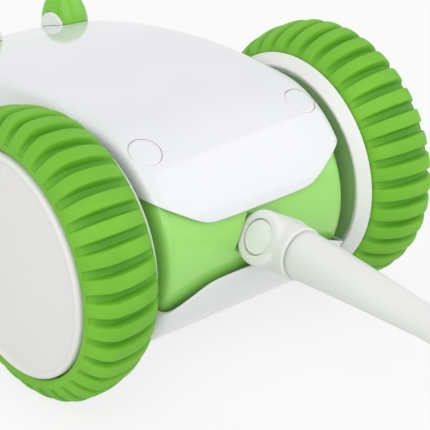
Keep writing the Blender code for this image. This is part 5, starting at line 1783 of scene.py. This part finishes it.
def barb_tree() -> bpy.types.NodeTree:
    """Build the tree that grows barbs on both sides of a feather's quill.

    Returns:
        A tree that turns a line of points into a feather.
    """
    bench, given, wanted = open_tree(
        "feather_barbs", "GeometryNodeTree",
        {"Quill": ("NodeSocketGeometry", None), "Barb": ("NodeSocketObject", None),
         "Barb Count": ("NodeSocketInt", 90), "Quill Radius": (FLOAT, 0.0005), "Lean": (FLOAT, 0.62),
         "Wander": (FLOAT, 0.10), "Seed": ("NodeSocketInt", 3), "Plumage": ("NodeSocketMaterial", None)},
        {"Feather": "NodeSocketGeometry"})
    line = bench.add("GeometryNodeMeshToCurve", {"Mesh": given["Quill"]})
    even = bench.add("GeometryNodeResampleCurve",
                     {"Curve": line.outputs["Curve"], "Count": given["Barb Count"]})
    barb = bench.add("GeometryNodeObjectInfo", {"Object": given["Barb"]}, transform_space="ORIGINAL")
    shape = bench.add("GeometryNodeJoinGeometry")
    across, reach = bench.named("across", "FLOAT_VECTOR"), bench.named("reach")
    tangent = bench.add("GeometryNodeInputTangent").outputs["Tangent"]
    for k, sign in enumerate((-1.0, 1.0)):
        jitter = bench.add("FunctionNodeRandomValue", {"Seed": bench.math("ADD", given["Seed"], float(k))},
                           data_type="FLOAT")
        low, high = [item for item in jitter.inputs if item.type == "VALUE"][:2]
        bench.join(bench.math("MULTIPLY", given["Wander"], -1.0), low)
        bench.join(given["Wander"], high)
        wander = next(item for item in jitter.outputs if item.type == "VALUE")
        side = bench.scaled(across, sign)
        forward = bench.scaled(tangent, bench.math("ADD", given["Lean"], wander))
        first = bench.add("FunctionNodeAlignRotationToVector",
                          {"Vector": bench.vector_math("ADD", side, forward)}, axis="X")
        normal = bench.vector_math("CROSS_PRODUCT", tangent, side)
        second = bench.add("FunctionNodeAlignRotationToVector",
                           {"Rotation": first.outputs[0], "Vector": normal}, axis="Z", pivot_axis="X")
        size = bench.add("ShaderNodeCombineXYZ", {"X": reach, "Y": 1.0, "Z": 1.0})
        place = bench.add("GeometryNodeInstanceOnPoints",
                          {"Points": even.outputs["Curve"], "Instance": barb.outputs["Geometry"],
                           "Rotation": second.outputs[0], "Scale": size.outputs[0]})
        bench.join(place.outputs["Instances"], shape.inputs["Geometry"])
    circle = bench.add("GeometryNodeCurvePrimitiveCircle",
                       {"Resolution": 10, "Radius": given["Quill Radius"]})
    feeds = {"Curve": even.outputs["Curve"], "Profile Curve": circle.outputs["Curve"], "Fill Caps": True}
    stem = bench.add("GeometryNodeCurveToMesh", feeds)
    bench.join(stem.outputs["Mesh"], shape.inputs["Geometry"])
    finish_tree(bench, shape.outputs["Geometry"], given["Plumage"], wanted["Feather"])
    return bench.tree


@dataclass
class Feathers:
    """The feathers that open out of the socket."""

    tail: Tail
    count: int = 5
    length: float = 0.060
    length_share: float = 0.985
    half_width: float = 0.0062
    fill_share: float = 0.86
    swell_power: float = 0.6
    spread: float = 0.0160
    spread_power: float = 0.95
    droop: float = 0.0040
    circle_radius: float = 0.0022
    bare_share: float = 0.12
    bare_reach: float = 0.0001
    least_reach: float = 0.0004
    tip_share: float = 0.08
    quill_radius: float = 0.00045
    barb_count: int = 110
    barb_steps: int = 6
    barb_widths: Point = (0.00055, 0.00006)
    barb_depths: Point = (0.00007, 0.00002)
    barb_curl: Point = (0.0008, -0.0007)
    points: int = 48

    def barb(self) -> bpy.types.Object:
        """Make one barb a metre long along X, a flat closed blade that curls a little.

        Returns:
            The barb, which is removed once the feathers are made.
        """
        rings = []
        for k in range(self.barb_steps + 1):
            share = k / self.barb_steps
            wide = Vector((0, self.barb_widths[0] * (1 - share) ** 0.5 + self.barb_widths[1], 0))
            thick = Vector((0, 0, self.barb_depths[0] * (1 - share) + self.barb_depths[1]))
            middle = Vector((share, self.barb_curl[0] * share * share, self.barb_curl[1] * share * share))
            rings.append([middle + wide, middle + thick, middle - wide, middle - thick])
        return loft("barb", rings)

    def quill_points(self, turn: float) -> list[Vector]:
        """Middle line of one feather that leaves the socket at a turn about the tail.

        Args:
            turn: the turn, in radians.

        Returns:
            The points, from root to tip.
        """
        low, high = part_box("feather_socket")
        start = self.tail.socket_start + FIT_GAP + high.y - low.y
        height = self.tail.centre(start).z
        outward = Vector((math.cos(turn), 0, math.sin(turn)))
        line = []
        for k in range(self.points + 1):
            share = k / self.points
            away = self.circle_radius + self.spread * share ** self.spread_power
            back = TAIL_PIVOT.y - start - self.length * self.length_share * share
            line.append(Vector((0, back, height - self.droop * share ** 2)) + away * outward)
        return line

    def reach_at(self, share: float) -> float:
        """Length of the barbs at a share of the feather's length.

        Args:
            share: the share.

        Returns:
            The length of a barb.
        """
        if share < self.bare_share:
            return self.bare_reach
        part = (share - self.bare_share) / (1 - self.bare_share)
        swell = math.sin(math.pi * (part + (1 - part) * self.tip_share)) ** self.swell_power
        return max(self.half_width * swell * self.fill_share, self.least_reach)

    def build(self) -> None:
        """Build every feather."""
        barb = self.barb()
        tree = barb_tree()
        shares = [i / self.points for i in range(self.points + 1)]
        for k in range(self.count):
            turn = math.pi / 2 + FULL_TURN * k / self.count
            across = Vector((-math.sin(turn), 0, math.cos(turn)))
            mesh = bpy.data.meshes.new(f"plume_{k + 1}")
            mesh.from_pydata([tuple(point) for point in self.quill_points(turn)],
                             [(i, i + 1) for i in range(self.points)], [])
            store_values(mesh, "across", [part for _ in shares for part in across], "FLOAT_VECTOR")
            store_values(mesh, "reach", [self.reach_at(share) for share in shares])
            store_values(mesh, "along", shares)
            item = put(mesh.name, mesh)
            finish = FEATHER_GREEN if k % 2 else FEATHER_WHITE
            grow(item, tree, {"Barb": barb, "Barb Count": self.barb_count, "Quill Radius": self.quill_radius,
                              "Seed": k, "Plumage": finish.material()})
            settle(item, "tail", finish, f"feather_{k + 1}", 60.0)
        bpy.data.objects.remove(barb)


# Ears

@dataclass
class Ears:
    """The two green ear domes with a white disc through the foot of each."""

    side_reach: float = 0.0132
    reach: float = 0.066804
    base_height: float = 0.02535
    turn: float = math.radians(12.0)
    half_width: float = 0.0050
    half_length: float = 0.0060
    height: float = 0.0092
    squareness: float = 2.7
    disc_radius: float = 0.0037
    disc_proud: float = 0.0003
    disc_edge: float = 0.0004
    disc_gap: float = 0.0001
    hole_margin: float = 0.002
    levels: int = 28
    steps: int = 80
    foot_share: float = 0.5
    tip_spread: float = 0.004

    def dome(self, name: str, place: Vector, across: Vector) -> bpy.types.Object:
        """Make a dome, rounder above and squarer in plan.

        Args:
            name: the object's name.
            place: the middle of its foot.
            across: unit direction of its width.

        Returns:
            The dome.
        """
        along = Vector((-across.y, across.x, 0))
        rings = []
        for k in range(self.levels + 1):
            rise = math.pi / 2 * (k / self.levels * (1 + self.foot_share) - self.foot_share)
            spread = max(math.cos(rise), self.tip_spread)
            rings.append([place + self.half_width * spread * self.squared(math.cos(turn)) * across
                          + self.half_length * spread * self.squared(math.sin(turn)) * along
                          + Vector((0, 0, self.height * math.sin(rise))) for turn in around(self.steps)])
        return loft(name, rings)

    def squared(self, value: float) -> float:
        """Superellipse form of a sine or cosine."""
        return math.copysign(abs(value) ** (2 / self.squareness), value)

    def build(self) -> None:
        """Build both ears and their discs."""
        for side in Side:
            across = Vector((math.cos(self.turn), side.value * math.sin(self.turn), 0))
            place = AXLE + Vector((side.value * self.side_reach, self.reach, self.base_height))
            ear = self.dome(f"ear_dome_{side.word}", place, across)
            reach, radius = self.half_width + self.hole_margin, self.disc_radius + self.disc_gap
            hole = bar("disc_hole", (-reach, reach), radius, self.steps, across, place)
            combine(ear, "DIFFERENCE", hole, SURFACE.solid("ear_skin", SURFACE.shell_radius, FIT_GAP / 3))
            settle(ear, "chassis", EAR_GREEN, f"ear_{side.word}", 50.0)
            reach, radius, edge = self.half_width + self.disc_proud, self.disc_radius, self.disc_edge
            right = rounded((reach - edge, radius), (reach, radius - edge), 5, True)
            profile = [(-x, r) for x, r in reversed(right)] + right
            disc = turned(f"ear_roundel_{side.word}", profile, self.steps, across, place)
            combine(disc, "DIFFERENCE", SURFACE.solid("disc_skin", SURFACE.shell_radius, FIT_GAP / 3))
            settle(disc, "chassis", RING_WHITE, f"ear_disc_{side.word}", 50.0)


# Stage, light and camera

@dataclass(frozen=True)
class Lamp:
    """A large soft lamp that points at the axle.

    Args:
        name: its name.
        place: where it hangs.
        size: its width.
        power: its power in watts.
    """

    name: str
    place: tuple[float, float, float]
    size: float
    power: float

    def build(self) -> None:
        """Hang the lamp."""
        data = bpy.data.lights.new(self.name, "AREA")
        data.shape = "DISK"
        data.size = self.size
        data.energy = self.power
        item = put(self.name, data)
        item.location = self.place
        item.rotation_euler = (AXLE - Vector(self.place)).to_track_quat("-Z", "Y").to_euler()


@dataclass(frozen=True)
class Studio:
    """Pale floor, soft light and the photograph's viewpoint."""

    camera_place: tuple[float, float, float] = (-0.195695, -0.194578, 0.172817)
    camera_right: tuple[float, float, float] = (0.761897, -0.647232, -0.024552)
    camera_up: tuple[float, float, float] = (0.287769, 0.304305, 0.908068)
    focal_pixels: float = 1469.7983
    sensor: float = 36.0
    world_strength: float = 0.76
    lamps: tuple[Lamp, ...] = (Lamp("key", (-0.7, -0.45, 0.65), 1.2, 3.72),
                               Lamp("fill", (0.8, -0.5, 0.5), 1.0, 1.86),
                               Lamp("low", (-0.3, -0.85, 0.22), 1.0, 1.26))
    floor_half: float = 6.0
    floor_greys: Point = (0.80, 0.82)
    floor_grain: float = 40.0
    floor_glow: float = 0.82
    floor_shine: float = 0.9

    def camera(self) -> None:
        """Set the camera where the photograph was taken from."""
        data = bpy.data.cameras.new("photo_camera")
        data.sensor_width = self.sensor
        data.lens = self.focal_pixels / PHOTO_PIXELS * self.sensor
        data.clip_start = 0.01
        data.clip_end = 50.0
        right, up = Vector(self.camera_right), Vector(self.camera_up)
        turn = Matrix((right, up, right.cross(up))).transposed().to_4x4()
        camera = put("photo_camera", data)
        camera.matrix_world = Matrix.Translation(self.camera_place) @ turn
        bpy.context.scene.camera = camera

    def seen_directly(self, bench: Bench) -> bpy.types.NodeSocket:
        """Share that is 1 for rays that see the surface straight, mirrored or through glass.

        Args:
            bench: the material's bench.

        Returns:
            The share's socket.
        """
        path = bench.add("ShaderNodeLightPath")
        direct = bench.math("MAXIMUM", path.outputs["Is Camera Ray"], path.outputs["Is Glossy Ray"])
        return bench.math("MAXIMUM", direct, path.outputs["Is Transmission Ray"])

    def world(self) -> None:
        """Light the scene evenly, in front of a white that is only seen."""
        world = bpy.data.worlds.new("white_room")
        bpy.context.scene.world = world
        world.use_nodes = True
        bench = Bench(world.node_tree)
        background = world.node_tree.nodes["Background"]
        background.inputs["Color"].default_value = (1, 1, 1, 1)
        share = self.seen_directly(bench)
        bench.join(bench.spread(share, 0.0, 1.0, self.world_strength, 1.0), background.inputs["Strength"])

    def floor(self) -> None:
        """Lay the pale floor, which keeps the toy's soft shadow."""
        half = self.floor_half
        corners = [(-half, -half, 0), (half, -half, 0), (half, half, 0), (-half, half, 0)]
        item = add_mesh("floor", corners, [(0, 1, 2, 3)], False)
        material = bpy.data.materials.new("pale_floor")
        material.use_nodes = True
        bench = Bench(material.node_tree)
        nodes = material.node_tree.nodes
        shader = nodes["Principled BSDF"]
        bench.feed(shader, {"Roughness": self.floor_shine, "Specular IOR Level": 0.0})
        place = bench.add("ShaderNodeTexCoord").outputs["Object"]
        first, second = [(grey, grey, grey, 1) for grey in self.floor_greys]
        tint = bench.blend(bench.noise(place, self.floor_grain), first, second)
        bench.join(tint, shader.inputs["Base Color"])
        glow = bench.add("ShaderNodeEmission")
        share = bench.math("MULTIPLY", self.seen_directly(bench), self.floor_glow)
        mix = bench.add("ShaderNodeMixShader", {"Fac": share, 1: shader.outputs[0], 2: glow.outputs[0]})
        bench.join(mix.outputs[0], nodes["Material Output"].inputs["Surface"])
        item.data.materials.append(material)
        item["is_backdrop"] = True

    def build(self) -> None:
        """Set the stage."""
        bpy.context.scene.view_settings.view_transform = "Standard"
        self.camera()
        self.world()
        self.floor()
        for lamp in self.lamps:
            lamp.build()


def dress_inner_pieces() -> None:
    """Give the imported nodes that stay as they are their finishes."""
    paired = {"shell_screw": STEEL, "belly_screw_rear": STEEL, "belly_screw_nose": STEEL, "axle_bush": BRASS,
              "gear_plate": WHITE_SATIN, "motor": STEEL, "reduction_gear": NYLON, "motor_pinion": BRASS}
    single = {"base_tray": WHITE_SATIN, "battery": CELL, "circuit_board": BOARD, "power_switch": DARK_RUBBER,
              "charging_port": STEEL, "roller_pin": STEEL, "roller_fork": WHITE_SATIN,
              "power_button": BODY_GREEN, "port_cover": DARK_RUBBER, "chin_roller": DARK_RUBBER}
    for name, finish in paired.items():
        for side in Side:
            dress(f"{name}_{side.word}", finish)
    for node, finish in single.items():
        dress(node, finish)


def write_sizes() -> None:
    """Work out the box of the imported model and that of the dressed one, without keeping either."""
    bounds = {"cad": CAD_BOUNDS, "visual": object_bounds()}
    {name: [list(corner) for corner in box] for name, box in bounds.items()}


def main() -> None:
    """Build the scene."""
    logging.basicConfig(level=logging.INFO, format="%(name)s: %(message)s")
    Studio().build()
    BodyCase().build()
    for side in Side:
        Wheel(side).build()
    tail = Tail()
    tail.build()
    Feathers(tail).build()
    Ears().build()
    dress_inner_pieces()
    write_sizes()


if __name__ == "__main__":
    main()
